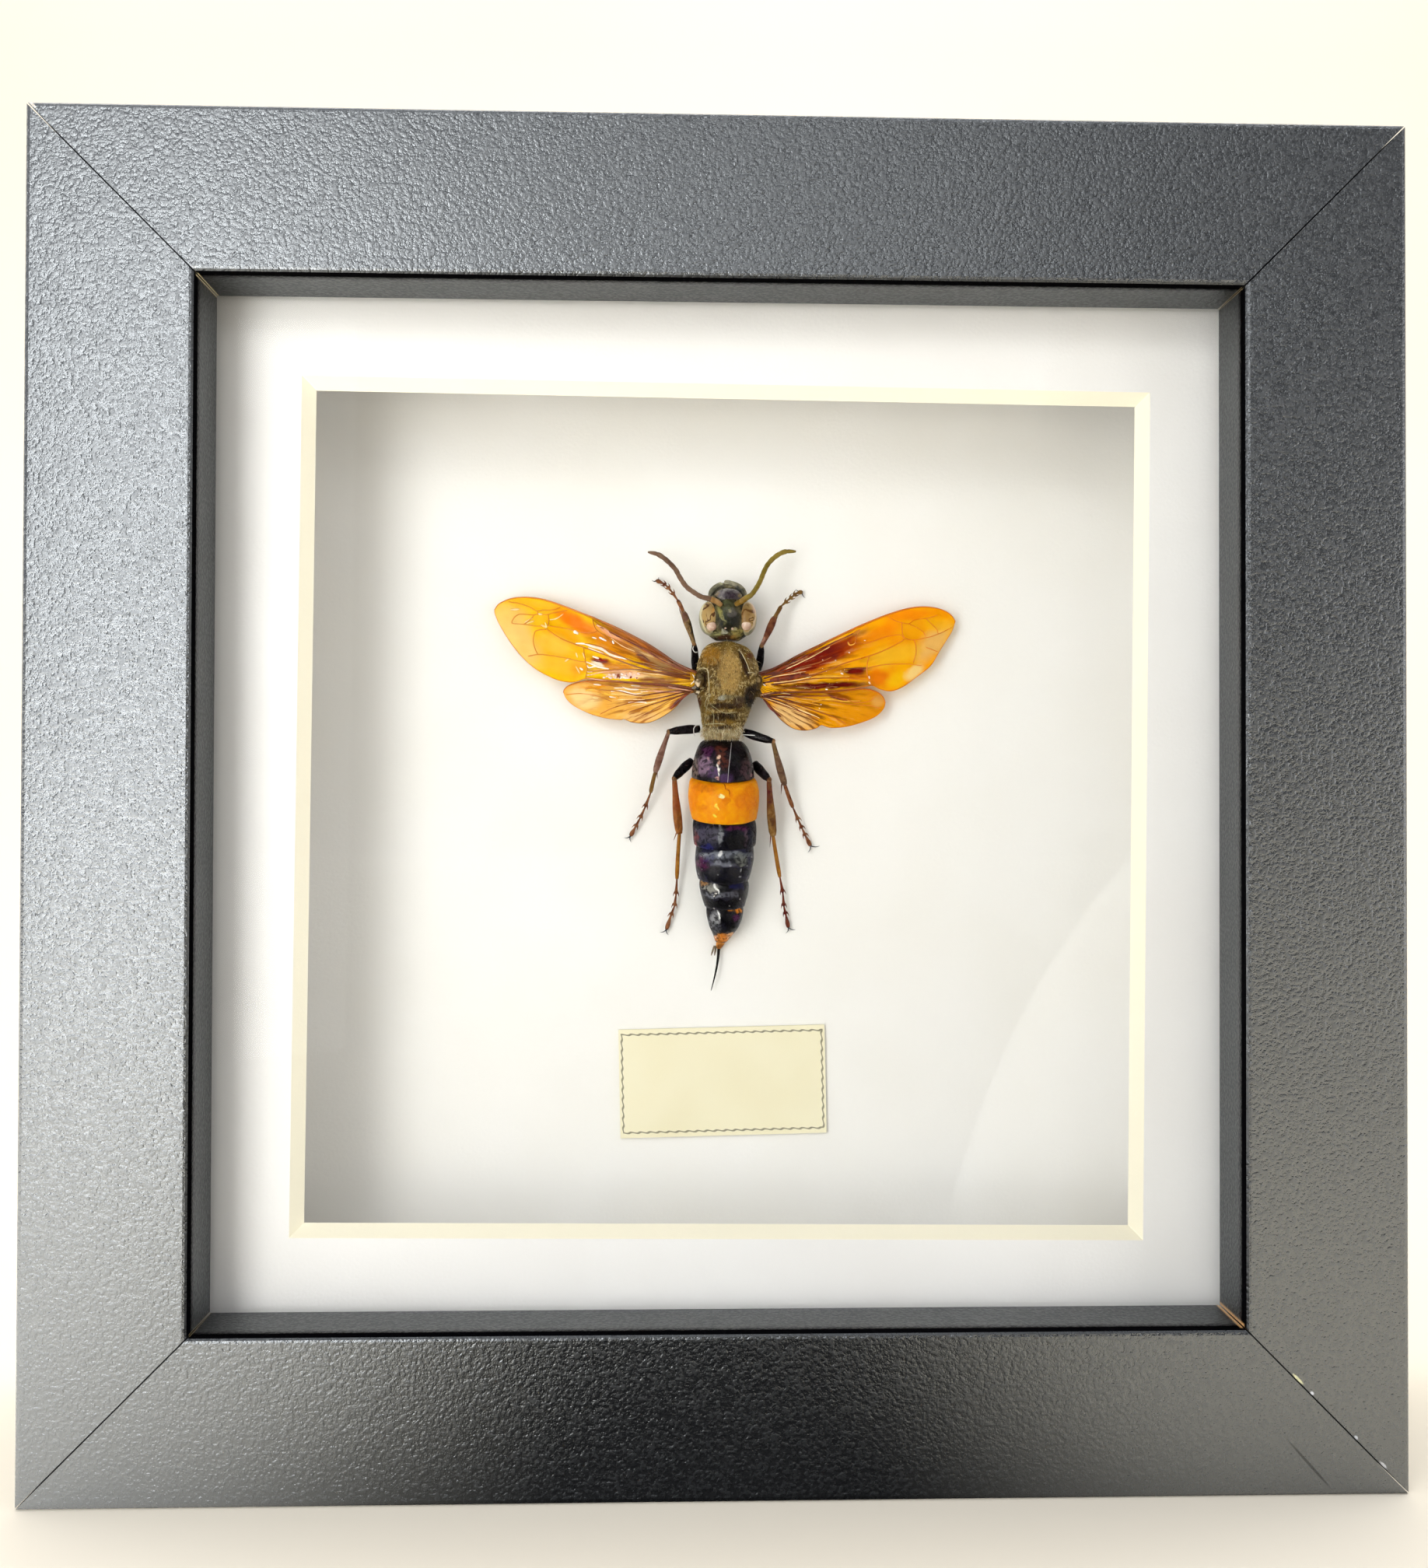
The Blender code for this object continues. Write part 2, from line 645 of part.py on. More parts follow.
def add_wings():
    add_wing(
        "forewing_left",
        [
            (-3.3, 16.55),
            (-4.7, 17.15),
            (-8.9, 19.7),
            (-14.2, 22.4),
            (-20.0, 24.95),
            (-24.0, 25.75),
            (-26.9, 25.35),
            (-28.15, 24.2),
            (-27.3, 22.0),
            (-25.0, 18.75),
            (-22.5, 16.5),
            (-19.8, 15.3),
            (-17.9, 15.1),
            (-16.6, 15.55),
            (-12.0, 15.15),
            (-6.5, 14.85),
            (-3.4, 14.75),
        ],
        root_across=-3.3,
        root_height=4.6,
        droop=7.5,
    )
    add_wing(
        "forewing_right",
        [
            (5.65, 16.2),
            (7.2, 16.9),
            (12.3, 19.6),
            (18.2, 22.55),
            (23.2, 24.5),
            (26.6, 24.95),
            (29.2, 24.35),
            (30.25, 23.25),
            (29.3, 21.1),
            (27.0, 17.5),
            (24.4, 15.35),
            (21.9, 14.3),
            (20.3, 14.5),
            (18.9, 15.0),
            (13.2, 14.3),
            (8.5, 14.1),
            (5.7, 14.3),
        ],
        root_across=5.65,
        root_height=4.6,
        droop=7.5,
    )
    add_wing(
        "hindwing_left",
        [
            (-3.2, 14.1),
            (-6.0, 14.75),
            (-12.0, 15.3),
            (-17.0, 15.3),
            (-19.3, 14.5),
            (-19.2, 13.2),
            (-17.2, 11.65),
            (-14.2, 10.6),
            (-12.3, 10.45),
            (-10.2, 10.0),
            (-8.2, 10.1),
            (-5.9, 11.4),
            (-4.3, 13.2),
        ],
        root_across=-3.2,
        root_height=3.7,
        droop=6.5,
    )
    add_wing(
        "hindwing_right",
        [
            (5.45, 13.5),
            (8.0, 14.0),
            (13.0, 14.25),
            (18.4, 14.45),
            (20.5, 13.9),
            (21.3, 12.75),
            (20.1, 11.1),
            (16.9, 9.8),
            (13.9, 9.5),
            (12.3, 9.45),
            (10.4, 9.15),
            (8.4, 10.15),
            (6.6, 12.2),
        ],
        root_across=5.45,
        root_height=3.7,
        droop=6.5,
    )


clear_scene()
PARTS = new_collection("framed_hornet_specimen")
CUTTERS = new_collection("cutters")
add_rails()
add_sheets()
add_spacers()
add_label()
add_hanger()
add_tabs()
add_head()
add_thorax()
add_abdomen()
add_sting()
add_antennae()
add_legs()
add_wings()
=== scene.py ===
# %% [markdown]
# # A framed hornet
# This lesson dresses a plain CAD model of a small shadow box with a hornet in it.
# The CAD model gives every size and place. Blender adds what a solid can't carry:
# paint, card, glass, veins, hair and horn.
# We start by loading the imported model. Its nodes sit at the origin with their place in
# their meshes, so a new piece only needs the same coordinates to fit.

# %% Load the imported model
import math
import random

import bmesh
import bpy
from mathutils import Matrix, Vector, noise
from mathutils.bvhtree import BVHTree


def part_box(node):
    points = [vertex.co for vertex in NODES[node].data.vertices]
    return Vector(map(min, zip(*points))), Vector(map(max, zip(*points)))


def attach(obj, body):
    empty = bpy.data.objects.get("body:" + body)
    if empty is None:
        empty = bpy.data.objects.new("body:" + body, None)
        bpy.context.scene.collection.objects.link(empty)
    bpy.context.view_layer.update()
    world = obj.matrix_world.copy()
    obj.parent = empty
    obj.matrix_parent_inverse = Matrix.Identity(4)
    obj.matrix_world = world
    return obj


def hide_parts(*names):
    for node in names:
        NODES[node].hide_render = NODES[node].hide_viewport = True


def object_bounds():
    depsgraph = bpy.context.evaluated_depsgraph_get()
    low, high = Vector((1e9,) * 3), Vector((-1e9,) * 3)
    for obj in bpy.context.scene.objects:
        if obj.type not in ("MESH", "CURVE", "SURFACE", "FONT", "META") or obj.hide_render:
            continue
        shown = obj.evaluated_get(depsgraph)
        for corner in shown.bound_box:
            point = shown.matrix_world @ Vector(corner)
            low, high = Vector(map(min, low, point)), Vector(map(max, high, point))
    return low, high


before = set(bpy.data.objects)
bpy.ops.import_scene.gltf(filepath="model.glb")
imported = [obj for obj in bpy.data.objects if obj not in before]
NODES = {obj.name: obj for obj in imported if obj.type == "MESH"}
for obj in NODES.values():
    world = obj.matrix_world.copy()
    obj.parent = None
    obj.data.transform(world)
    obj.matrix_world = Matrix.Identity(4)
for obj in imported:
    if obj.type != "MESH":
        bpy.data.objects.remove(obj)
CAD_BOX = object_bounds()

print("CAD nodes:", len(NODES))
print("CAD box in mm:", [round(v * 1000, 2) for corner in CAD_BOX for v in corner])

# %% [markdown]
# A flat specimen is easiest to describe as the eye sees it: so far across, so far up and
# so high above the card that carries it. Two small functions turn such millimetres into
# points in the model's frame, where the viewer looks along +Y.

# %% Coordinates inside the box
MM = 0.001
CARD_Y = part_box("backing_board")[0].y
MIDDLE_Z = 0.5 * (CAD_BOX[0].z + CAD_BOX[1].z)
FACE_Y = CAD_BOX[0].y
TOWARD_VIEWER = Vector((0.0, -1.0, 0.0))


def in_box(across, up, height):
    """A point by millimetres across and up from the middle, and above the backing card."""
    return Vector((across * MM, CARD_Y - height * MM, MIDDLE_Z + up * MM))


print("backing card at y =", round(CARD_Y * 1000, 2), "mm, face at", round(FACE_Y * 1000, 2))

# %% [markdown]
# Most of the work below is building shader trees. One helper adds a node, sets its
# options and its inputs, and links an input where it is given another node's output.
# That keeps each finish short enough to read as a recipe.


# %% A short way to write shader trees
def connect(tree, node, inputs):
    """Fills a node's inputs. inputs maps socket names or numbers to values or to outputs."""
    for key, value in inputs.items():
        if isinstance(value, bpy.types.NodeSocket):
            tree.links.new(value, node.inputs[key])
        else:
            node.inputs[key].default_value = value


def add_node(tree, kind, inputs=None, **options):
    """Adds a node with its options and inputs."""
    made = tree.nodes.new(kind)
    for name, value in options.items():
        setattr(made, name, value)
    connect(tree, made, inputs or {})
    return made


def maths(tree, operation, first, second=0.5, third=0.5, clamp=False):
    """One Math node, as its output."""
    values = {0: first, 1: second, 2: third}
    return add_node(tree, "ShaderNodeMath", values, operation=operation, use_clamp=clamp).outputs[0]


def vector_maths(tree, operation, *values):
    """One Vector Math node, as its output."""
    made = add_node(tree, "ShaderNodeVectorMath", dict(enumerate(values)), operation=operation)
    return made.outputs["Value" if operation in ("DOT_PRODUCT", "LENGTH") else "Vector"]


def axes(tree, vector):
    """The X, Y and Z of a vector, as outputs."""
    return add_node(tree, "ShaderNodeSeparateXYZ", {0: vector}).outputs


def facing(tree):
    """The Y of a face's own normal, as an output. It is -1 where the face looks at the viewer."""
    return axes(tree, add_node(tree, "ShaderNodeNewGeometry").outputs["True Normal"])["Y"]


def grain(tree, place, scale, detail, roughness=0.5):
    """Plain noise around 0.5, as its output."""
    values = {"Vector": place, "Scale": scale, "Detail": detail, "Roughness": roughness}
    return add_node(tree, "ShaderNodeTexNoise", values).outputs["Fac"]


def blend_colours(tree, share, first, second):
    """A colour Mix node, as its output. Colours are given with four numbers."""
    return add_node(tree, "ShaderNodeMix", {0: share, 6: first, 7: second}, data_type="RGBA").outputs[2]


def fade(tree, value, low, high, low_out=0.0, high_out=1.0, smooth=True):
    """Turns a value into a mask that goes from low_out at low to high_out at high."""
    kind = "SMOOTHSTEP" if smooth else "LINEAR"
    values = {0: value, 1: low, 2: high, 3: low_out, 4: high_out}
    return add_node(tree, "ShaderNodeMapRange", values, interpolation_type=kind).outputs[0]


def new_finish(name):
    """A material with its Principled BSDF and the object coordinates, ready for a recipe."""
    finish = bpy.data.materials.new(name)
    finish.use_nodes = True
    tree = finish.node_tree
    shader = next(n for n in tree.nodes if n.type == "BSDF_PRINCIPLED")
    place = add_node(tree, "ShaderNodeTexCoord").outputs["Object"]
    return finish, tree, shader, place


def rgb(colour):
    """A colour from the 0 to 255 numbers that a picture shows, made linear for Blender."""
    return tuple(((c / 255 + 0.055) / 1.055) ** 2.4 if c > 10 else c / 3294.6 for c in colour) + (1.0,)


def bump(tree, shader, height, distance, strength=1.0):
    """Feeds a height into the shader's Normal through a Bump node. distance is in millimetres."""
    values = {"Height": height, "Distance": distance * MM, "Strength": strength}
    connect(tree, shader, {"Normal": add_node(tree, "ShaderNodeBump", values).outputs[0]})


def show(tree, surface):
    """Sends a shader's output to the surface of the material."""
    end = next(n for n in tree.nodes if n.type == "OUTPUT_MATERIAL")
    connect(tree, end, {"Surface": surface})


print("shader helpers ready")

# %% [markdown]
# Two effects come back on several surfaces: small scattered specks of dust or dirt, and
# cloudy noise. Each is a node group, built once and placed in each material with its
# own values.


# %% Shared effects as node groups
def new_group(name, inputs, outputs):
    """An empty shader node group with the named sockets, each given as (name, type, default)."""
    group = bpy.data.node_groups.new(name, "ShaderNodeTree")
    for title, kind, value in inputs:
        socket = group.interface.new_socket(title, in_out="INPUT", socket_type=kind)
        if value is not None:
            socket.default_value = value
    for title, kind in outputs:
        group.interface.new_socket(title, in_out="OUTPUT", socket_type=kind)
    entry = group.nodes.new("NodeGroupInput")
    end = group.nodes.new("NodeGroupOutput")
    return group, entry.outputs, end.inputs


def place_group(tree, group, inputs):
    """Places a node group with its own values, as its outputs."""
    return add_node(tree, "ShaderNodeGroup", inputs, node_tree=group).outputs


def build_speck_group():
    """Specks at random points: one in each of a share of the cells, at most Size cells wide."""
    inputs = [("Place", "NodeSocketVector", None), ("Cells", "NodeSocketFloat", 200.0)]
    inputs += [("Size", "NodeSocketFloat", 0.05), ("Share", "NodeSocketFloat", 0.3)]
    group, given, out = new_group("scattered_specks", inputs, [("Mask", "NodeSocketFloat")])
    cell = add_node(group, "ShaderNodeTexVoronoi", {"Vector": given["Place"], "Scale": given["Cells"]})
    parts = add_node(group, "ShaderNodeSeparateColor", {0: cell.outputs["Color"]}).outputs
    radius = maths(group, "MULTIPLY", given["Size"], maths(group, "ADD", parts[1], 0.3))
    inside = maths(group, "LESS_THAN", cell.outputs["Distance"], radius)
    chosen = maths(group, "LESS_THAN", parts[0], given["Share"])
    group.links.new(maths(group, "MULTIPLY", inside, chosen), out["Mask"])
    return group


def build_cloud_group():
    """Soft cloudy noise that is stretched to the full 0 to 1."""
    inputs = [("Place", "NodeSocketVector", None), ("Scale", "NodeSocketFloat", 50.0)]
    inputs += [("Detail", "NodeSocketFloat", 3.0), ("Contrast", "NodeSocketFloat", 0.5)]
    group, given, out = new_group("cloudy_noise", inputs, [("Value", "NodeSocketFloat")])
    values = {"Vector": given["Place"], "Scale": given["Scale"], "Detail": given["Detail"]}
    cloud = add_node(group, "ShaderNodeTexNoise", values).outputs["Fac"]
    spread = maths(group, "MULTIPLY", maths(group, "SUBTRACT", cloud, 0.5), given["Contrast"])
    value = maths(group, "MULTIPLY_ADD", spread, 4.0, 0.5, clamp=True)
    group.links.new(value, out["Value"])
    return group


SPECKS = build_speck_group()
CLOUDS = build_cloud_group()


def specks(tree, place, cells, size, share):
    """A mask of scattered specks."""
    return place_group(tree, SPECKS, {"Place": place, "Cells": cells, "Size": size, "Share": share})["Mask"]


def clouds(tree, place, scale, detail=3.0, contrast=0.5):
    """Cloudy noise from 0 to 1."""
    values = {"Place": place, "Scale": scale, "Detail": detail, "Contrast": contrast}
    return place_group(tree, CLOUDS, values)["Value"]


def dress(name, finish):
    """Gives a CAD node a better finish. Its mesh stays as it is."""
    NODES[name].material_slots[0].material = finish


print("node groups:", len(bpy.data.node_groups))

# %% [markdown]
# Natural horn is never one colour, and an old frame has chips and dust. A soft patch is an
# ellipse of colour with a faded rim, and coordinates that were stirred by noise first make
# its rim ragged. A handful of such listed patches gives each piece its own marks.


# %% Soft patches of colour
def build_patch_group():
    """Strength inside an ellipse, 0 outside, with a soft rim. It ignores the depth. Side and
    Rise point along the ellipse's two axes, and are as long as one over its half widths."""
    inputs = [(title, "NodeSocketVector", None) for title in ("Place", "Centre", "Side", "Rise")]
    inputs += [(title, "NodeSocketFloat", 0.5) for title in ("Low", "High", "Strength")]
    group, given, out = new_group("soft_patch", inputs, [("Mask", "NodeSocketFloat")])
    away = vector_maths(group, "SUBTRACT", given["Place"], given["Centre"])
    side = vector_maths(group, "DOT_PRODUCT", away, given["Side"])
    rise = vector_maths(group, "DOT_PRODUCT", away, given["Rise"])
    square = maths(group, "MULTIPLY_ADD", side, side, maths(group, "MULTIPLY", rise, rise))
    far = maths(group, "SQRT", square)
    group.links.new(fade(group, far, given["Low"], given["High"], given["Strength"], 0.0), out["Mask"])
    return group


PATCH = build_patch_group()


def patch_mask(tree, place, across, up, wide, tall, turn=0.0, soft=0.35, strength=1.0):
    """The mask of one patch, in millimetres and degrees."""
    lean = math.radians(turn)
    side = (math.cos(lean) / (wide * MM), 0.0, math.sin(lean) / (wide * MM))
    rise = (-math.sin(lean) / (tall * MM), 0.0, math.cos(lean) / (tall * MM))
    values = {"Place": place, "Centre": in_box(across, up, 0.0), "Side": side, "Rise": rise}
    values.update({"Low": 1.0 - soft, "High": 1.0 + soft, "Strength": strength})
    return place_group(tree, PATCH, values)["Mask"]


def patches(tree, place, base, spots, soft=0.35, broken=None):
    """Lays patches over a base: (across, up, half width, half height, turn, colour, strength).
    broken is a value from noise that breaks the patches up."""
    for across, up, wide, tall, turn, colour, strength in spots:
        share = patch_mask(tree, place, across, up, wide, tall, turn, soft, strength)
        if broken:
            share = maths(tree, "MULTIPLY", share, broken, clamp=True)
        base = blend_colours(tree, share, base, colour)
    return base


def recolour(spots, change):
    """The same patches with a change made to each colour."""
    return [(*spot[:5], change(spot[5]), spot[6]) for spot in spots]


def stirred(tree, place, scale, amount):
    """The same coordinates pushed about by noise, by some millimetres."""
    cloud = add_node(tree, "ShaderNodeTexNoise", {"Vector": place, "Scale": scale, "Detail": 3.0}).outputs["Color"]
    push = vector_maths(tree, "SUBTRACT", cloud, (0.5, 0.5, 0.5))
    return vector_maths(tree, "MULTIPLY_ADD", push, (4.0 * amount * MM,) * 3, place)


print("node groups:", len(bpy.data.node_groups))

# %% [markdown]
# ## The black rails
# The frame is a plain square moulding in glossy black paint with a fine pebble, about
# half a millimetre from lump to lump. Every lump mirrors the light at its own angle, so
# the rail that faces the lamp turns silvery and speckled, while the others stay dark.
# One noise through a Bump node gives that. The sides are duller, and the walls of the
# opening are black next to the face, where the moulding's edge turns away. Bare wood
# shows as slivers at the inner corners, pale filler sits in one mitre, and a few specks
# of dust lie about.


# %% Pebbled black paint
# across, up, half width, half height, turn, colour, strength
FACE_MARKS = [(-74.2, 74.6, 0.55, 0.14, -45, (226, 216, 200), 0.9),
    (62.6, -62.3, 0.75, 0.15, -45, (222, 220, 168), 0.9), (64.15, -63.85, 0.22, 0.17, -45, (222, 226, 236), 0.9),
    (69.0, -68.7, 0.24, 0.16, -45, (206, 212, 222), 0.8), (72.0, -71.7, 0.5, 0.15, -45, (196, 198, 204), 0.8)]
# the same, for bare wood on the walls of the opening
WOOD_MARKS = [(57.1, -57.1, 0.75, 0.34, -45, (216, 172, 118), 1.0),
    (-57.1, 57.1, 0.5, 0.2, -45, (226, 214, 176), 1.0), (57.1, 57.1, 0.4, 0.14, 45, (206, 186, 146), 0.8),
    (-57.1, -57.1, 0.4, 0.14, 45, (206, 186, 146), 0.8)]


SIDE_LEVEL = 0.75


def make_black_paint():
    finish, tree, shader, place = new_finish("pebbled_black_paint")
    where = axes(tree, place)
    pebble = grain(tree, place, 2700.0, 2.0)
    base = blend_colours(tree, clouds(tree, place, 30.0, 1.0), rgb((6, 6, 8)), rgb((12, 12, 14)))
    base = blend_colours(tree, specks(tree, place, 55.0, 0.011, 0.35), base, rgb((225, 222, 214)))
    inside = fade(tree, where["Y"], FACE_Y + 0.5 * MM, FACE_Y + 0.9 * MM)
    base = patches(tree, place, base, recolour(FACE_MARKS, rgb))
    base = patches(tree, place, base, recolour(WOOD_MARKS, rgb), broken=inside)
    front = fade(tree, facing(tree), -0.5, -0.9)
    rise = maths(tree, "SUBTRACT", where["Z"], MIDDLE_Z)
    reach = maths(tree, "MAXIMUM", maths(tree, "ABSOLUTE", where["X"]), maths(tree, "ABSOLUTE", rise))
    wall = fade(tree, where["Y"], FACE_Y + 1.2 * MM, FACE_Y + 2.4 * MM, 0.0, SIDE_LEVEL)
    wall = maths(tree, "MAXIMUM", wall, fade(tree, reach, 66.0 * MM, 70.0 * MM, 0.0, SIDE_LEVEL))
    crease = maths(tree, "MULTIPLY_ADD", patch_mask(tree, place, 63.8, -71.5, 3.2, 0.14, -48.0), -0.5, 1.0)
    level = maths(tree, "MULTIPLY", maths(tree, "MAXIMUM", front, wall), crease)
    rough = maths(tree, "ADD", fade(tree, pebble, 0.35, 0.65, 0.14, 0.32), fade(tree, front, 0.0, 1.0, 0.25, 0.0))
    connect(tree, shader, {"Base Color": base, "Specular IOR Level": level, "Roughness": rough, "IOR": 1.9,
            "Specular Tint": (0.92, 0.97, 1.0, 1.0)})
    bump(tree, shader, pebble, 0.12)
    return finish


PAINT = make_black_paint()
RAILS = ("rail_top", "rail_right", "rail_bottom", "rail_left")
for rail in RAILS:
    dress(rail, PAINT)
print("painted", len(RAILS), "rails")

# %% [markdown]
# ## Glass, mat and backing
# The pane is clear float glass, and it hardly mirrors the room in the photograph, so its
# IOR is low. A Principled glass lets no light through for shadows, so it is mixed with a
# Transparent shader for shadow rays. The mat is white card whose cut edge shows a cream
# core, and the backing is a matt white card with faint stains and a few dark specks.


# %% Clear glass
def make_glass():
    finish, tree, shader, _ = new_finish("clear_float_glass")
    connect(tree, shader,
        {"Base Color": (0.985, 0.99, 0.98, 1.0), "Roughness": 0.0, "IOR": 1.12, "Transmission Weight": 1.0})
    clear = add_node(tree, "ShaderNodeBsdfTransparent", {"Color": (0.985, 0.985, 0.985, 1.0)}).outputs[0]
    shadow = add_node(tree, "ShaderNodeLightPath").outputs["Is Shadow Ray"]
    show(tree, add_node(tree, "ShaderNodeMixShader", {0: shadow, 1: shader.outputs[0], 2: clear}).outputs[0])
    return finish


dress("glass_pane", make_glass())


# %% White card, and the cream core at the bevel
def make_card(name, colour, stain, fleck_share):
    """Matt card. It also returns the colour below the flecks, for a cut edge."""
    finish, tree, shader, place = new_finish(name)
    mottle = clouds(tree, place, 45.0, 2.0)
    fibre = grain(tree, place, 2600.0, 1.0)
    flecks = specks(tree, place, 75.0, 0.016, fleck_share)
    base = blend_colours(tree, mottle, colour, stain)
    connect(tree, shader, {"Base Color": blend_colours(tree, flecks, base, rgb((120, 104, 84))),
            "Roughness": fade(tree, fibre, 0.3, 0.7, 0.75, 0.9)})
    bump(tree, shader, fibre, 0.05, 0.35)
    return finish, tree, shader, base


CARD, *_ = make_card("white_backing_card", rgb((246, 245, 242)), rgb((241, 239, 233)), 0.05)
SHEETS = ("backing_board", "spacer_top", "spacer_right", "spacer_bottom", "spacer_left")
for sheet in SHEETS:
    dress(sheet, CARD)

MAT_FINISH, mat_tree, mat_shader, mat_base = make_card("white_mat_card", rgb((247, 246, 244)), rgb((242, 240, 237)),
    0.03)
slope = facing(mat_tree)
cut = maths(mat_tree, "MULTIPLY", fade(mat_tree, slope, -0.9, -0.8), fade(mat_tree, slope, -0.3, -0.4))
connect(mat_tree, mat_shader, {"Base Color": blend_colours(mat_tree, cut, mat_base, rgb((250, 244, 222)))})
dress("mat_board", MAT_FINISH)
print("card on", len(SHEETS) + 1, "pieces")

# %% [markdown]
# ## Tools for horn and membrane
# An insect is a set of closed horn shells. Each shell here is a loft: ellipses measured
# along its length, bridged one to the next and capped at both ends. A leg, a feeler or a
# vein is the same thing along a bent line, so a second helper turns a line of points into
# rings that face along it.


# %% Lofts through measured rings
def smooth_line(points, steps):
    """A smooth line through tuples of numbers, with some steps between neighbours."""
    points = [Vector(p) for p in points]
    rows = [points[0], *points, points[-1]]
    line = []
    for p, q, r, s in zip(rows, rows[1:], rows[2:], rows[3:]):
        for t in (i / steps for i in range(steps)):
            bend = (2.0 * p - 5.0 * q + 4.0 * r - s) * t * t + (3.0 * q - p - 3.0 * r + s) * t ** 3
            line.append(0.5 * (2.0 * q + (r - p) * t + bend))
    return line + [points[-1]]


def add_loft(bm, rings, sides=24, slots=0):
    """Bridges ellipses into a closed shell. rings holds (centre, side half axis, front half axis).
    slots is one material number, or one for each gap between rings."""
    loops = []
    for centre, side, front in rings:
        turn = Matrix((side, front, side.cross(front).normalized())).transposed().to_4x4()
        turn.translation = centre
        corners = bmesh.ops.create_circle(bm, segments=sides, radius=1.0, matrix=turn)["verts"]
        loops.append(list({edge for corner in corners for edge in corner.link_edges}))
    made = []
    for k, (first, second) in enumerate(zip(loops, loops[1:])):
        band = bmesh.ops.bridge_loops(bm, edges=first + second)["faces"]
        for face in band:
            face.material_index = slots if isinstance(slots, int) else slots[k]
        made += band
    caps = bmesh.ops.holes_fill(bm, edges=loops[0] + loops[-1], sides=0)["faces"]
    for face in caps:
        face.material_index = slots if isinstance(slots, int) else slots[-1]
    return made + caps


def add_tube(bm, line, radii, sides=8, slots=0, flat=1.0):
    """A rod along a line of points, with one radius in millimetres or one for each point."""
    rings = []
    for k, point in enumerate(line):
        ahead = line[min(k + 1, len(line) - 1)] - line[max(k - 1, 0)]
        side = ahead.cross(TOWARD_VIEWER).normalized()
        front = side.cross(ahead).normalized()
        radius = (radii if isinstance(radii, float) else radii[k]) * MM
        rings.append((point, side * radius, front * radius * flat))
    return add_loft(bm, rings, sides, slots)


def add_ball(bm, centre, half, slot=0, rows=16):
    """An ellipsoid. half is across, toward the viewer and up, in millimetres."""
    turn = Matrix.Diagonal((half[0] * MM, half[1] * MM, half[2] * MM, 1.0))
    turn.translation = centre
    made = bmesh.ops.create_uvsphere(bm, u_segments=2 * rows, v_segments=rows, radius=1.0, matrix=turn)["verts"]
    for face in {f for corner in made for f in corner.link_faces}:
        face.material_index = slot
    return made


def lay_on(surface, across, up, lift):
    """The point on the near side of a shell at a spot, lifted toward the viewer by millimetres."""
    near = in_box(across, up, 20.0)
    hit = surface.ray_cast(near, -TOWARD_VIEWER)[0]
    return (hit or in_box(across, up, 2.0)) + TOWARD_VIEWER * lift * MM


def shell_rings(stations):
    """Rings of an upright shell, from rows of up, across, half width, half depth and height."""
    rows = smooth_line(stations, 4)
    return [(in_box(a, up, h), Vector((w * MM, 0, 0)), Vector((0, -t * MM, 0))) for up, a, w, t, h in rows]


def to_object(name, bm):
    """Turns a bmesh into a smooth object in the scene."""
    mesh = bpy.data.meshes.new(name)
    bm.to_mesh(mesh)
    bm.free()
    mesh.polygons.foreach_set("use_smooth", [True] * len(mesh.polygons))
    made = bpy.data.objects.new(name, mesh)
    bpy.context.scene.collection.objects.link(made)
    return made


def new_piece(name, bm, finishes, node):
    """Closes a bmesh into an object that takes the place of a CAD node and rides with it."""
    bmesh.ops.recalc_face_normals(bm, faces=bm.faces)
    piece = to_object(name, bm)
    for finish in finishes:
        piece.data.materials.append(finish)
    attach(piece, "root")
    if node:
        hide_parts(node)
    return piece


print("loft tools ready")

# %% [markdown]
# Horn has a dull depth under a thin gloss. One recipe serves every shell: two base
# colours mixed by noise, patches over them, dark grit, small flecks, and a wrinkled bump
# under a coat. Some of the patches are painted highlights and painted sheen. Only the
# numbers change from shell to shell. The key light makes a
# surface near it show brighter than its colour, and the gloss lays a thin grey veil over
# it, so colours that were read off the photograph are divided by that gain and lose a
# little of the veil first.


# %% One recipe for horn
GAIN = 1.3
VEIL = 0.012


def shown(colour, gain=GAIN):
    """The base colour that shows as the given 0 to 255 numbers under the key light."""
    return tuple(max(0.3 * part, part / gain - VEIL) for part in rgb(colour)[:3]) + (1.0,)


def make_horn(name, dark, light, spots=(), mix=700.0, fleck=None, gloss=0.3, coat=0.13, wrinkle=0.5, stir=0.3,
        grit=0.5):
    """A horn finish. mix is how fine the mottle is, and fleck a colour for small light flecks."""
    finish, tree, shader, place = new_finish(name)
    pushed = stirred(tree, place, 900.0, stir)
    mottle = clouds(tree, pushed, mix, 5.0, 0.8)
    fine = clouds(tree, pushed, 2300.0, 3.0, 0.9)
    base = blend_colours(tree, mottle, shown(dark), shown(light))
    broken = maths(tree, "MULTIPLY_ADD", maths(tree, "ADD", mottle, fine), 0.5, 0.4)
    base = patches(tree, pushed, base, recolour(spots, shown), broken=broken)
    base = blend_colours(tree, fade(tree, fine, 0.0, 0.45, grit, 0.0), base, shown(dark))
    if fleck:
        flecks = specks(tree, pushed, 1500.0, 0.3, 0.16)
        base = blend_colours(tree, maths(tree, "MULTIPLY", flecks, 0.6), base, shown(fleck))
    connect(tree, shader, {"Base Color": base, "Roughness": fade(tree, fine, 0.0, 1.0, gloss - 0.08, gloss + 0.14),
            "Specular IOR Level": 0.07, "Coat Weight": coat, "Coat Roughness": 0.12})
    bump(tree, shader, maths(tree, "MULTIPLY_ADD", mottle, 1.5, fine), 0.06, wrinkle)
    return finish


print("horn recipe ready")

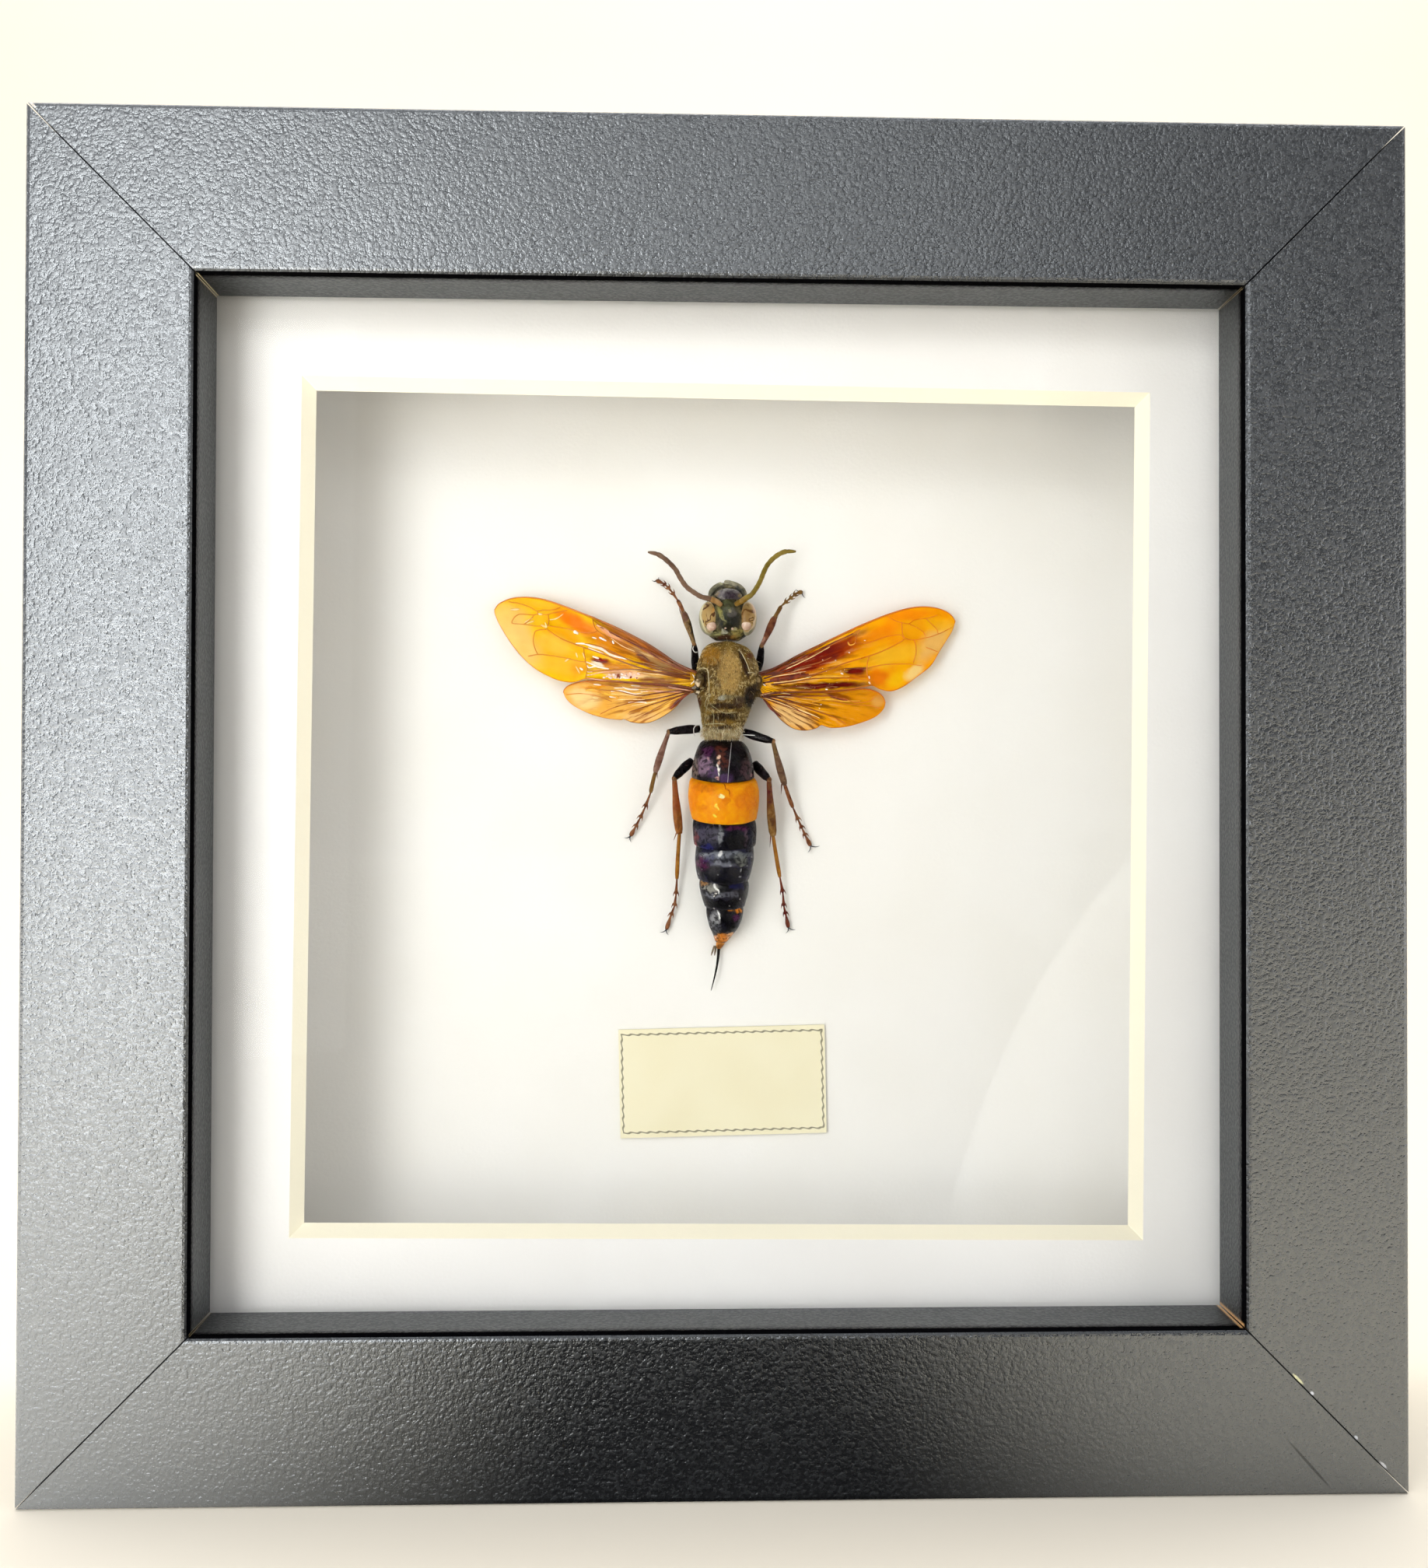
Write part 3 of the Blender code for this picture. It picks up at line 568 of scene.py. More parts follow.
# %% [markdown]
# ## The abdomen
# A hornet's abdomen is six rings of horn, each tucked under the one before, so every ring
# ends in a small step. The rings are read off the CAD solid: how far up, how far across
# and how wide. On the real animal they tilt, so that their near side hangs a little
# lower and the edges look bowed. The steps fall where a ring's width drops at once.

# %% Measured rings of the abdomen
# up, across, half width, for each of the six segments and for the tip
SEGMENTS = [[(7.78, 0.6, 1.2), (7.7, 0.6, 1.9), (7.5, 0.6, 2.42), (7.15, 0.6, 2.8), (6.5, 0.62, 3.2),
        (5.4, 0.65, 3.58), (4.2, 0.68, 3.82), (3.1, 0.7, 3.93)],
    [(3.05, 0.7, 3.74), (2.6, 0.72, 4.15), (1.8, 0.76, 4.35), (0.9, 0.8, 4.43), (-0.6, 0.83, 4.33),
        (-2.0, 0.86, 4.08)], [(-2.05, 0.86, 3.78), (-2.8, 0.88, 3.95), (-3.8, 0.9, 3.97), (-5.2, 0.93, 3.83)],
    [(-5.25, 0.93, 3.5), (-6.2, 0.9, 3.66), (-7.2, 0.88, 3.68), (-8.4, 0.86, 3.5), (-9.4, 0.84, 3.22)],
    [(-9.45, 0.84, 2.95), (-10.3, 0.86, 3.1), (-11.4, 0.92, 2.95), (-12.8, 0.98, 2.55)],
    [(-12.85, 0.98, 2.3), (-13.6, 0.98, 2.34), (-14.6, 0.96, 2.15), (-15.6, 0.9, 1.82), (-16.8, 0.72, 1.15),
        (-17.5, 0.55, 0.72)], [(-17.55, 0.54, 0.6), (-18.1, 0.4, 0.45), (-18.45, 0.33, 0.25)]]
LEAN = 0.24
THREAD_LINE = [(1.66, 7.5), (1.55, 6.6), (1.38, 5.24), (1.22, 3.9), (1.12, 2.5)]
print("abdomen is", round(SEGMENTS[0][0][0] - SEGMENTS[-1][-1][0], 2), "mm long")


# %% Build the abdomen
def abdomen_rings():
    """The leaning rings, and the number of the segment that each gap belongs to."""
    rings, slots = [], []
    for number, stations in enumerate(SEGMENTS):
        for up, across, half in smooth_line(stations, 4):
            deep = half * 0.88
            lean = LEAN * max(0.0, min(1.0, (7.5 - up) / 4.0))
            raised = up + 0.25 * max(0.0, min(1.0, (up + 14.0) / 10.0))
            side, front = Vector((half * MM, 0.0, 0.0)), Vector((0.0, -deep * MM, -deep * lean * MM))
            rings.append((in_box(across, raised, 0.25 + deep), side, front))
            slots.append(number)
    return rings, slots[:-1]


def press(bm, across, up, wide, tall, depth):
    """Pushes the near side of a shell in by some millimetres, in a soft round dent."""
    for corner in bm.verts:
        off = (corner.co.x / MM - across) / wide, ((corner.co.z - MIDDLE_Z) / MM - up) / tall
        reach = off[0] ** 2 + off[1] ** 2
        if reach < 6.0 and corner.co.y < CARD_Y - 2.5 * MM:
            corner.co.y += depth * MM * math.exp(-reach)


def ruffle(bm, scale, amount):
    """Moves every corner along its normal by cloudy noise, by up to some millimetres."""
    bm.normal_update()
    shifts = [(corner, corner.normal * noise.noise(corner.co * scale)) for corner in bm.verts]
    for corner, shift in shifts:
        corner.co += shift * amount * MM


def make_tergites():
    """The finishes of the six rings and the tip. Their patches are in millimetres from the middle."""
    # painted light on the first ring: the violet-grey patch at the left is painted sheen, and the white and pale pink
    # patches near across 0 are a painted highlight streak
    first = make_horn("first_tergite", (8, 2, 8), (40, 14, 34),
        [(-1.65, 4.7, 0.95, 1.2, 0, (138, 112, 134), 0.85), (-1.2, 6.4, 0.8, 0.6, 0, (84, 34, 78), 0.65),
            (-0.6, 3.7, 0.7, 0.6, 0, (84, 40, 100), 0.6), (-2.9, 4.0, 0.45, 1.5, 0, (116, 96, 86), 0.8),
            (0.5, 5.8, 0.7, 1.5, 10, (96, 54, 44), 0.8), (3.6, 4.2, 0.8, 1.3, 0, (88, 66, 70), 0.6),
            (2.4, 6.0, 1.1, 1.5, 0, (10, 2, 8), 0.9), (0.9, 3.1, 0.7, 0.6, 0, (96, 70, 112), 0.5),
            (0.3, 7.3, 2.2, 0.35, 0, (8, 2, 6), 0.9), (-0.03, 4.1, 0.17, 0.75, 8, (255, 248, 240), 1.0),
            (0.1, 5.9, 0.34, 0.2, 30, (255, 214, 184), 0.9), (0.05, 5.2, 0.2, 0.5, 0, (226, 170, 150), 0.7),
            (-0.2, 3.1, 0.3, 0.22, 0, (236, 176, 170), 0.8)], fleck=(196, 150, 150), gloss=0.27, coat=0.2, grit=0.85)
    # painted light on the orange ring: the three pale yellow patches near across 0 are a painted highlight
    second = make_horn("orange_tergite", (246, 142, 0), (255, 172, 2),
        [(3.9, 0.6, 0.8, 2.2, 0, (226, 116, 2), 0.6), (1.0, 1.8, 0.13, 0.9, 18, (176, 74, 8), 0.8),
            (-3.0, 0.8, 0.5, 2.0, 0, (236, 124, 2), 0.5), (-1.6, 1.9, 1.4, 0.5, -8, (206, 108, 8), 0.7),
            (2.6, 0.2, 0.7, 0.9, 0, (224, 112, 4), 0.6), (0.9, 0.2, 0.5, 0.5, 0, (208, 96, 8), 0.5),
            (-1.9, -0.6, 0.7, 0.4, 0, (224, 120, 4), 0.5), (0.3, 0.72, 0.34, 0.3, 0, (255, 246, 170), 1.0),
            (-0.2, -0.35, 0.18, 0.4, 10, (255, 236, 90), 1.0), (-0.42, -1.42, 0.24, 0.2, 0, (255, 236, 80), 1.0),
            (0.8, -2.55, 3.6, 0.2, 0, (255, 184, 16), 0.8)], mix=1000.0, gloss=0.36, coat=0.06, wrinkle=0.4,
        stir=0.35, grit=0.45)
    # painted light on the third ring: the grey patch at the left is painted sheen, and the light grey streak near
    # across 0 is a painted highlight
    third = make_horn("third_tergite", (4, 4, 14), (26, 22, 50),
        [(-1.3, -3.9, 1.7, 1.0, 0, (84, 80, 96), 0.7), (0.1, -4.0, 0.3, 1.2, 0, (140, 142, 146), 0.8),
            (-2.75, -4.6, 0.35, 1.2, 0, (112, 52, 58), 0.9), (2.2, -3.1, 1.5, 0.3, 0, (84, 34, 74), 0.8),
            (3.4, -4.3, 0.35, 1.0, 0, (104, 84, 96), 0.8), (-1.5, -5.5, 0.8, 0.5, 0, (24, 26, 92), 0.9),
            (2.2, -4.6, 1.5, 1.1, 0, (2, 1, 7), 1.0), (2.0, -5.8, 1.2, 0.4, 0, (3, 3, 16), 0.9)],
        fleck=(150, 146, 154), gloss=0.28, grit=0.8)
    # painted light on the fourth ring: its silver-grey patches are a painted reflection, and the white patch near
    # across 0 is a painted highlight
    fourth = make_horn("fourth_tergite", (8, 8, 20), (46, 44, 70),
        [(0.9, -6.4, 3.0, 0.5, 0, (132, 136, 146), 0.9), (-1.4, -6.6, 0.8, 0.5, 0, (150, 154, 160), 0.8),
            (-1.9, -7.5, 0.8, 0.9, 0, (92, 36, 74), 0.8), (-1.1, -6.9, 0.8, 0.6, 20, (26, 22, 80), 0.7),
            (0.5, -7.4, 1.5, 0.35, 0, (128, 130, 140), 0.7), (2.9, -7.0, 0.8, 0.9, 0, (110, 112, 104), 0.8),
            (1.8, -6.9, 0.5, 0.6, 0, (8, 8, 14), 0.8), (0.6, -8.6, 3.2, 0.8, 0, (6, 6, 22), 0.95),
            (1.0, -9.5, 2.6, 0.3, 0, (4, 4, 12), 0.9), (0.26, -6.15, 0.26, 0.42, 0, (255, 255, 255), 1.0)],
        fleck=(176, 176, 180), gloss=0.26, coat=0.22, grit=0.8)
    # painted light on the fifth ring: its silver-grey patches are painted sheen, and the two white patches near
    # across 0 are a painted highlight
    fifth = make_horn("fifth_tergite", (8, 8, 12), (52, 50, 60),
        [(-0.9, -10.4, 1.1, 0.5, 0, (150, 148, 140), 0.85), (-1.6, -10.0, 0.6, 0.3, 0, (168, 120, 70), 0.8),
            (2.4, -10.2, 0.9, 0.5, 0, (20, 20, 74), 0.9), (0.9, -10.6, 0.7, 0.7, 0, (4, 4, 8), 0.95),
            (-0.3, -11.4, 1.3, 0.35, 0, (128, 130, 138), 0.8), (1.6, -11.3, 1.1, 0.3, 0, (90, 90, 100), 0.7),
            (0.6, -12.5, 2.2, 0.5, 0, (6, 5, 10), 0.95), (2.9, -11.6, 0.5, 1.0, 0, (40, 30, 44), 0.7),
            (-0.18, -10.45, 0.16, 0.62, 16, (255, 255, 250), 1.0),
            (-0.42, -11.25, 0.2, 0.2, 0, (255, 250, 240), 0.9)], fleck=(196, 192, 186), gloss=0.26, coat=0.22,
        grit=0.85)
    # painted light on the sixth ring: the grey patches at the left and in the middle are painted sheen, and the white
    # streak near across 0 is a painted highlight
    sixth = make_horn("sixth_tergite", (6, 6, 12), (44, 42, 52),
        [(-0.3, -14.4, 0.6, 0.8, 0, (150, 150, 154), 0.85), (0.22, -14.0, 0.13, 0.5, 12, (255, 255, 252), 1.0),
            (2.2, -13.35, 1.0, 0.3, -4, (236, 142, 26), 1.0), (2.4, -14.3, 0.4, 0.5, 0, (92, 40, 84), 0.7),
            (1.6, -15.0, 0.7, 0.8, 10, (4, 3, 12), 0.95), (0.0, -15.8, 0.5, 0.6, 0, (96, 96, 104), 0.6),
            (0.8, -17.0, 1.2, 0.65, 0, (232, 138, 30), 1.0), (-0.35, -17.0, 0.3, 0.35, 0, (250, 200, 160), 0.9),
            (1.7, -16.7, 0.35, 0.35, 0, (248, 190, 130), 0.8)], fleck=(180, 178, 182), gloss=0.26, coat=0.22,
        grit=0.8)
    tip = make_horn("abdomen_tip", (190, 110, 34), (236, 168, 90), [(0.5, -18.2, 0.5, 0.3, 0, (110, 58, 20), 0.7)])
    return [first, second, third, fourth, fifth, sixth, tip]


def build_abdomen():
    bm = bmesh.new()
    rings, slots = abdomen_rings()
    add_loft(bm, rings, 72, slots)
    for dent in ((0.7, 7.4, 2.0, 0.4, 0.15), (-1.5, -4.0, 0.9, 0.7, 0.14), (1.0, 2.0, 0.25, 0.9, 0.1),
            (2.6, -8.3, 1.0, 0.5, 0.12)):
        press(bm, *dent)
    ruffle(bm, 900.0, 0.05)
    ruffle(bm, 260.0, 0.12)
    surface = BVHTree.FromBMesh(bm)
    add_tube(bm, [lay_on(surface, *p, 0.05) for p in smooth_line(THREAD_LINE, 5)], 0.028, 6, 7)
    thread = make_horn("stray_white_thread", (196, 188, 190), (240, 236, 236), gloss=0.5, coat=0.0)
    return new_piece("banded_abdomen", bm, make_tergites() + [thread], "abdomen")


ABDOMEN = build_abdomen()
print("abdomen faces:", len(ABDOMEN.data.polygons))


# %% The sting and the two feelers beside it
def build_sting():
    bm = bmesh.new()
    line = smooth_line([(0.3, -18.5, 0.7), (0.2, -19.6, 0.85), (-0.03, -21.1, 0.95), (-0.35, -22.5, 0.95),
            (-0.67, -23.75, 0.85)], 4)
    radii = [0.2 - 0.16 * (k / (len(line) - 1)) ** 1.2 for k in range(len(line))]
    add_tube(bm, [in_box(*p) for p in line], radii, 10)
    for across, lean in ((-0.25, -0.42), (-0.05, -0.2)):
        ends = [(across, -18.1, 0.75), (across + lean * 0.5, -18.7, 0.8), (across + lean, -19.35, 0.7)]
        line = smooth_line(ends, 3)
        add_tube(bm, [in_box(*p) for p in line], [0.11, 0.12, 0.12, 0.12, 0.1, 0.07, 0.04], 8, 1)
    black = make_horn("sting_black", (14, 10, 10), (44, 34, 30), fleck=(90, 80, 70), gloss=0.3)
    grey = make_horn("palp_grey", (92, 78, 62), (150, 132, 108), gloss=0.5, coat=0.0)
    return new_piece("bare_sting", bm, [black, grey], "sting")


STING = build_sting()
print("sting faces:", len(STING.data.polygons))

# %% [markdown]
# ## The wings
# A wing is a thin sheet with stiff veins in it, folded like a fan near its root. It is
# built as a grid laid between its leading and trailing edge. Its height over the card
# falls from the root to the tip, and rises or sinks beside every vein and fold, so the
# same height function serves the sheet and the veins that lie on it.


# %% Heights of a wing
def resample(points, count):
    """Evenly spaced points along a smooth line."""
    line = smooth_line(points, 6)
    steps = [0.0]
    for a, b in zip(line, line[1:]):
        steps.append(steps[-1] + (b - a).length)
    spaced, k = [], 0
    for goal in (steps[-1] * i / (count - 1) for i in range(count)):
        while k < len(line) - 2 and steps[k + 1] < goal:
            k += 1
        spaced.append(line[k].lerp(line[k + 1], min(1.0, (goal - steps[k]) / (steps[k + 1] - steps[k]))))
    return spaced


def distance_to(line, point):
    """The distance in the plane from a point to a line of points."""
    best = 1e9
    for a, b in zip(line, line[1:]):
        along = b - a
        share = max(0.0, min(1.0, (point - a).dot(along) / along.length_squared))
        best = min(best, (a + along * share - point).length_squared)
    return math.sqrt(best)


def make_height(root, lift, droop, ridges):
    """The height of a wing over the card. ridges holds (line, height, half width)."""
    slope = math.tan(math.radians(droop))
    lines = []
    for line, tall, wide in ridges:
        line = [Vector(p) for p in line]
        low = Vector([min(p[k] for p in line) - 2.5 * wide for k in (0, 1)])
        high = Vector([max(p[k] for p in line) + 2.5 * wide for k in (0, 1)])
        lines.append((line, tall, wide, low, high))

    def height(point):
        far = abs(point.x - root)
        value = lift - far * slope
        for line, tall, wide, low, high in lines:
            if low.x < point.x < high.x and low.y < point.y < high.y:
                value += tall * math.exp(-(distance_to(line, point) / wide) ** 2) * min(1.0, far / 3.0)
        wave = noise.noise(Vector((point.x * 0.22, point.y * 0.3, 1.7))) * 0.3
        wave += noise.noise(Vector((point.x * 0.9, point.y * 1.2, 5.1))) * 0.07
        return value + wave * min(1.0, far / 6.0)

    return height


FORE_DROOP, HIND_DROOP = 7.5, 6.5
print("a fore wing falls", round(27.0 * math.tan(math.radians(FORE_DROOP)), 2), "mm from root to tip")

# %% [markdown]
# The sheet is amber and clear: light falls through it, turns orange on the card behind
# and comes back, so the sheet colours it twice. A Transparent shader in nearly the same
# colour does that, with a glossy Principled share for the surface. Folded and dark panels
# carry a larger share. Near its root the sheet is drawn together, and fine streaks run
# out from there; the pale ones are a painted glare. Noise that reads the angle and the
# distance from the root, instead of two lengths, follows them.


# %% Streaks from the root
def build_fan_group():
    """Streaks that spread from a root, and how near the root a point is."""
    inputs = [("Place", "NodeSocketVector", None), ("Root", "NodeSocketVector", None)]
    group, given, out = new_group("fan_streaks", inputs, [("Streak", "NodeSocketFloat"), ("Near", "NodeSocketFloat")])
    away = vector_maths(group, "SUBTRACT", given["Place"], given["Root"])
    flat = vector_maths(group, "MULTIPLY", away, (1.0, 0.0, 1.0))
    parts = axes(group, flat)
    wide = maths(group, "ABSOLUTE", parts["X"])
    angle = maths(group, "MULTIPLY", maths(group, "ARCTAN2", parts["Z"], wide), 17.0)
    reach = vector_maths(group, "LENGTH", flat)
    spot = add_node(group, "ShaderNodeCombineXYZ", {0: angle, 1: maths(group, "MULTIPLY", reach, 210.0)}).outputs[0]
    group.links.new(fade(group, grain(group, spot, 1.0, 4.0, 0.6), 0.3, 0.7), out["Streak"])
    group.links.new(fade(group, reach, 19.0 * MM, 5.0 * MM), out["Near"])
    return group


FAN = build_fan_group()


# %% Amber membrane
def seen_through(colour):
    """The base colour of a clear sheet, which the key light makes no brighter."""
    return shown(colour, 1.0)


def make_membrane(name, dark, light, root, streak_colour, spots, solid, depth=0.8):
    """solid holds the patches where the sheet lets little light through. depth is how much
    light takes on the colour on its way through."""
    finish, tree, shader, place = new_finish(name)
    pushed = stirred(tree, place, 500.0, 0.28)
    fan = place_group(tree, FAN, {"Place": place, "Root": in_box(*root, 0.0)})
    base = blend_colours(tree, clouds(tree, pushed, 330.0, 3.0, 0.5), seen_through(dark), seen_through(light))
    colour = patches(tree, pushed, base, recolour(spots, seen_through), 0.45)
    deep = maths(tree, "MULTIPLY", fade(tree, fan["Streak"], 0.5, 0.85, 0.0, 0.9), fan["Near"])
    colour = blend_colours(tree, deep, colour, seen_through(streak_colour))
    # the pale streaks near the root are a painted glare
    painted_glare = maths(tree, "MULTIPLY", fade(tree, fan["Streak"], 0.3, 0.05, 0.0, 0.4), fan["Near"])
    colour = blend_colours(tree, painted_glare, colour, rgb((255, 222, 160)))
    ripple = clouds(tree, place, 1100.0, 3.0, 0.4)
    connect(tree, shader, {"Base Color": colour, "Roughness": fade(tree, ripple, 0.0, 1.0, 0.2, 0.42),
            "Specular IOR Level": 0.06, "Coat Weight": 0.07, "Coat Roughness": 0.12})
    bump(tree, shader, maths(tree, "MULTIPLY_ADD", fan["Streak"], fan["Near"], ripple), 0.05, 0.5)
    share = maths(tree, "MULTIPLY_ADD", fan["Near"], 0.3, maths(tree, "MULTIPLY", ripple, 0.1))
    for *shape, weight in solid:
        mask = patch_mask(tree, pushed, *shape, 0.4)
        share = maths(tree, "MULTIPLY_ADD", mask, weight, share, clamp=True)
    share = fade(tree, share, 0.0, 1.0, 0.5, 0.97, smooth=False)
    tint = add_node(tree, "ShaderNodeGamma", {"Color": colour, "Gamma": depth}).outputs[0]
    clear = add_node(tree, "ShaderNodeBsdfTransparent", {"Color": tint}).outputs[0]
    show(tree, add_node(tree, "ShaderNodeMixShader", {0: share, 1: clear, 2: shader.outputs[0]}).outputs[0])
    return finish


FORE_LEFT_SPOTS = [(-26.2, 22.6, 2.6, 2.2, -50, (250, 216, 126), 0.85),
    (-24.6, 19.9, 3.4, 1.7, -50, (249, 214, 130), 0.85), (-23.0, 24.8, 3.4, 0.6, -8, (252, 200, 40), 0.8),
    (-17.7, 22.6, 2.9, 0.9, -27, (250, 134, 4), 0.9), (-19.4, 20.8, 2.6, 0.7, -20, (255, 186, 8), 0.7),
    (-20.6, 19.9, 2.2, 1.2, -20, (253, 212, 84), 0.7), (-19.8, 17.2, 2.8, 1.1, -12, (255, 210, 66), 0.8),
    (-17.4, 16.7, 1.1, 1.0, 0, (255, 176, 10), 0.7), (-13.4, 19.7, 3.2, 1.4, -33, (232, 134, 20), 0.8),
    (-8.4, 18.3, 6.0, 1.4, -31, (190, 112, 44), 0.85), (-9.6, 19.7, 7.2, 0.5, -31, (166, 92, 36), 0.9),
    (-13.6, 21.2, 1.6, 0.28, -33, (234, 164, 124), 0.8), (-5.9, 16.7, 2.6, 0.55, -24, (138, 104, 62), 0.8),
    (-9.3, 18.1, 1.2, 0.5, -38, (140, 14, 4), 1.0), (-14.7, 17.7, 1.2, 0.34, -8, (150, 20, 4), 1.0),
    (-7.8, 15.3, 2.0, 0.5, -4, (156, 114, 82), 0.9), (-12.4, 17.0, 2.2, 0.45, -8, (206, 116, 14), 0.8),
    # the first two patches on the next line, near white, are painted glare
    (-15.0, 17.25, 0.8, 0.3, -22, (255, 246, 226), 0.95), (-11.6, 15.95, 2.2, 0.4, -3, (252, 232, 218), 0.85),
    (-5.0, 15.7, 1.6, 0.35, -8, (226, 146, 36), 0.7), (-11.5, 16.2, 4.4, 0.3, -4, (240, 178, 130), 0.6),
    (-7.9, 17.6, 3.6, 0.55, -30, (150, 116, 70), 0.8), (-7.6, 15.2, 2.1, 0.3, -3, (150, 100, 64), 0.85)]
FORE_LEFT_SOLID = [(-9.6, 19.0, 7.6, 1.3, -31, 0.65), (-10.5, 15.7, 6.0, 0.8, -3, 0.7),
    (-13.4, 18.4, 4.4, 1.0, -25, 0.4)]
FORE_RIGHT_SPOTS = [(27.3, 20.4, 2.9, 1.3, 48, (243, 200, 118), 0.9), (22.4, 18.8, 3.4, 1.1, 15, (255, 206, 54), 0.8),
    (24.2, 23.9, 2.8, 0.6, 5, (253, 152, 12), 0.8), (27.8, 22.7, 1.7, 0.9, 0, (254, 198, 26), 0.7),
    (24.0, 21.8, 1.9, 0.9, 0, (254, 192, 20), 0.6), (20.4, 21.4, 2.6, 0.9, 20, (248, 146, 14), 0.7),
    (12.4, 17.9, 5.6, 1.2, 22, (168, 58, 6), 0.95), (13.7, 19.25, 5.2, 0.42, 27, (112, 20, 4), 0.95),
    (16.4, 19.9, 1.9, 0.9, 24, (204, 88, 8), 0.6), (9.6, 17.2, 2.2, 0.7, 22, (124, 36, 6), 0.9),
    (12.6, 20.15, 6.8, 0.2, 27, (238, 142, 30), 0.7), (6.6, 16.45, 1.8, 0.35, 20, (90, 30, 20), 0.85),
    (9.0, 15.67, 2.8, 0.36, 8, (116, 26, 10), 0.95), (6.6, 14.95, 1.3, 0.4, 0, (216, 152, 30), 0.8),
    (13.6, 16.6, 2.4, 0.5, 8, (204, 122, 16), 0.75), (17.3, 16.8, 1.7, 0.4, 4, (104, 14, 6), 1.0),
    (17.4, 16.05, 1.5, 0.38, 0, (216, 116, 18), 0.8), (13.4, 14.75, 5.8, 0.5, 3, (100, 22, 10), 1.0),
    (9.4, 14.5, 1.8, 0.3, 3, (120, 88, 30), 0.6), (20.3, 15.9, 1.5, 1.1, 0, (244, 132, 10), 0.85),
    (22.6, 15.7, 1.4, 0.9, 25, (255, 208, 26), 0.85), (24.9, 16.7, 1.3, 0.7, 40, (252, 228, 156), 0.85),
    (13.2, 18.3, 4.2, 0.8, 26, (120, 34, 6), 0.75), (17.6, 16.6, 1.2, 0.36, 0, (120, 34, 10), 0.85)]
FORE_RIGHT_SOLID = [(11.0, 17.2, 7.0, 1.6, 24, 0.6), (14.0, 19.2, 5.0, 0.6, 27, 0.5), (9.0, 15.67, 2.8, 0.4, 8, 0.5),
    (13.4, 14.75, 5.6, 0.45, 3, 0.6), (17.5, 16.6, 1.5, 0.5, 0, 0.4)]
HIND_LEFT_SPOTS = [(-15.8, 14.4, 1.9, 0.2, 0, (246, 170, 20), 0.9), (-16.8, 13.6, 1.4, 0.12, -6, (246, 176, 40), 0.8),
    (-9.0, 12.9, 2.9, 0.8, 25, (234, 168, 70), 0.6), (-5.4, 12.4, 1.1, 0.34, 42, (172, 98, 24), 0.85),
    (-5.6, 14.0, 2.4, 0.16, 2, (238, 172, 142), 0.85), (-11.6, 13.2, 1.2, 0.35, 0, (242, 186, 90), 0.7),
    (-9.5, 10.8, 2.3, 0.6, 0, (247, 208, 144), 0.7), (-16.9, 13.1, 2.0, 1.2, -25, (254, 228, 164), 0.8),
    (-8.4, 14.5, 1.6, 0.2, 0, (196, 120, 60), 0.7)]
HIND_LEFT_SOLID = [(-5.4, 12.6, 1.6, 0.5, 42, 0.5), (-7.5, 14.2, 4.5, 0.5, 0, 0.5)]
HIND_RIGHT_SPOTS = [(15.2, 13.5, 1.7, 0.26, -12, (154, 74, 14), 0.85),
    (9.3, 10.9, 2.7, 1.1, -22, (243, 204, 138), 0.9), (20.2, 12.9, 0.8, 0.7, 0, (240, 188, 98), 0.8),
    (16.8, 11.6, 3.0, 1.0, 5, (242, 170, 30), 0.7), (6.7, 11.9, 1.9, 0.2, -42, (150, 86, 20), 0.8),
    (7.6, 13.2, 1.9, 0.15, -4, (240, 182, 132), 0.85), (11.4, 12.9, 2.0, 0.5, -8, (206, 134, 20), 0.7),
    (9.0, 12.5, 2.4, 0.14, -22, (238, 190, 120), 0.7)]
HIND_RIGHT_SOLID = [(9.0, 13.2, 3.6, 0.5, -4, 0.5), (6.9, 12.0, 1.8, 0.3, -42, 0.5)]
print("patches on the wings:", sum(map(len, (FORE_LEFT_SPOTS, FORE_RIGHT_SPOTS, HIND_LEFT_SPOTS, HIND_RIGHT_SPOTS))))

# %% [markdown]
# The edges and veins were traced in the photograph, in millimetres across and up. The
# first veins of each list run from the root and stand high between the folds, and the
# small ones at the tip close the cells.

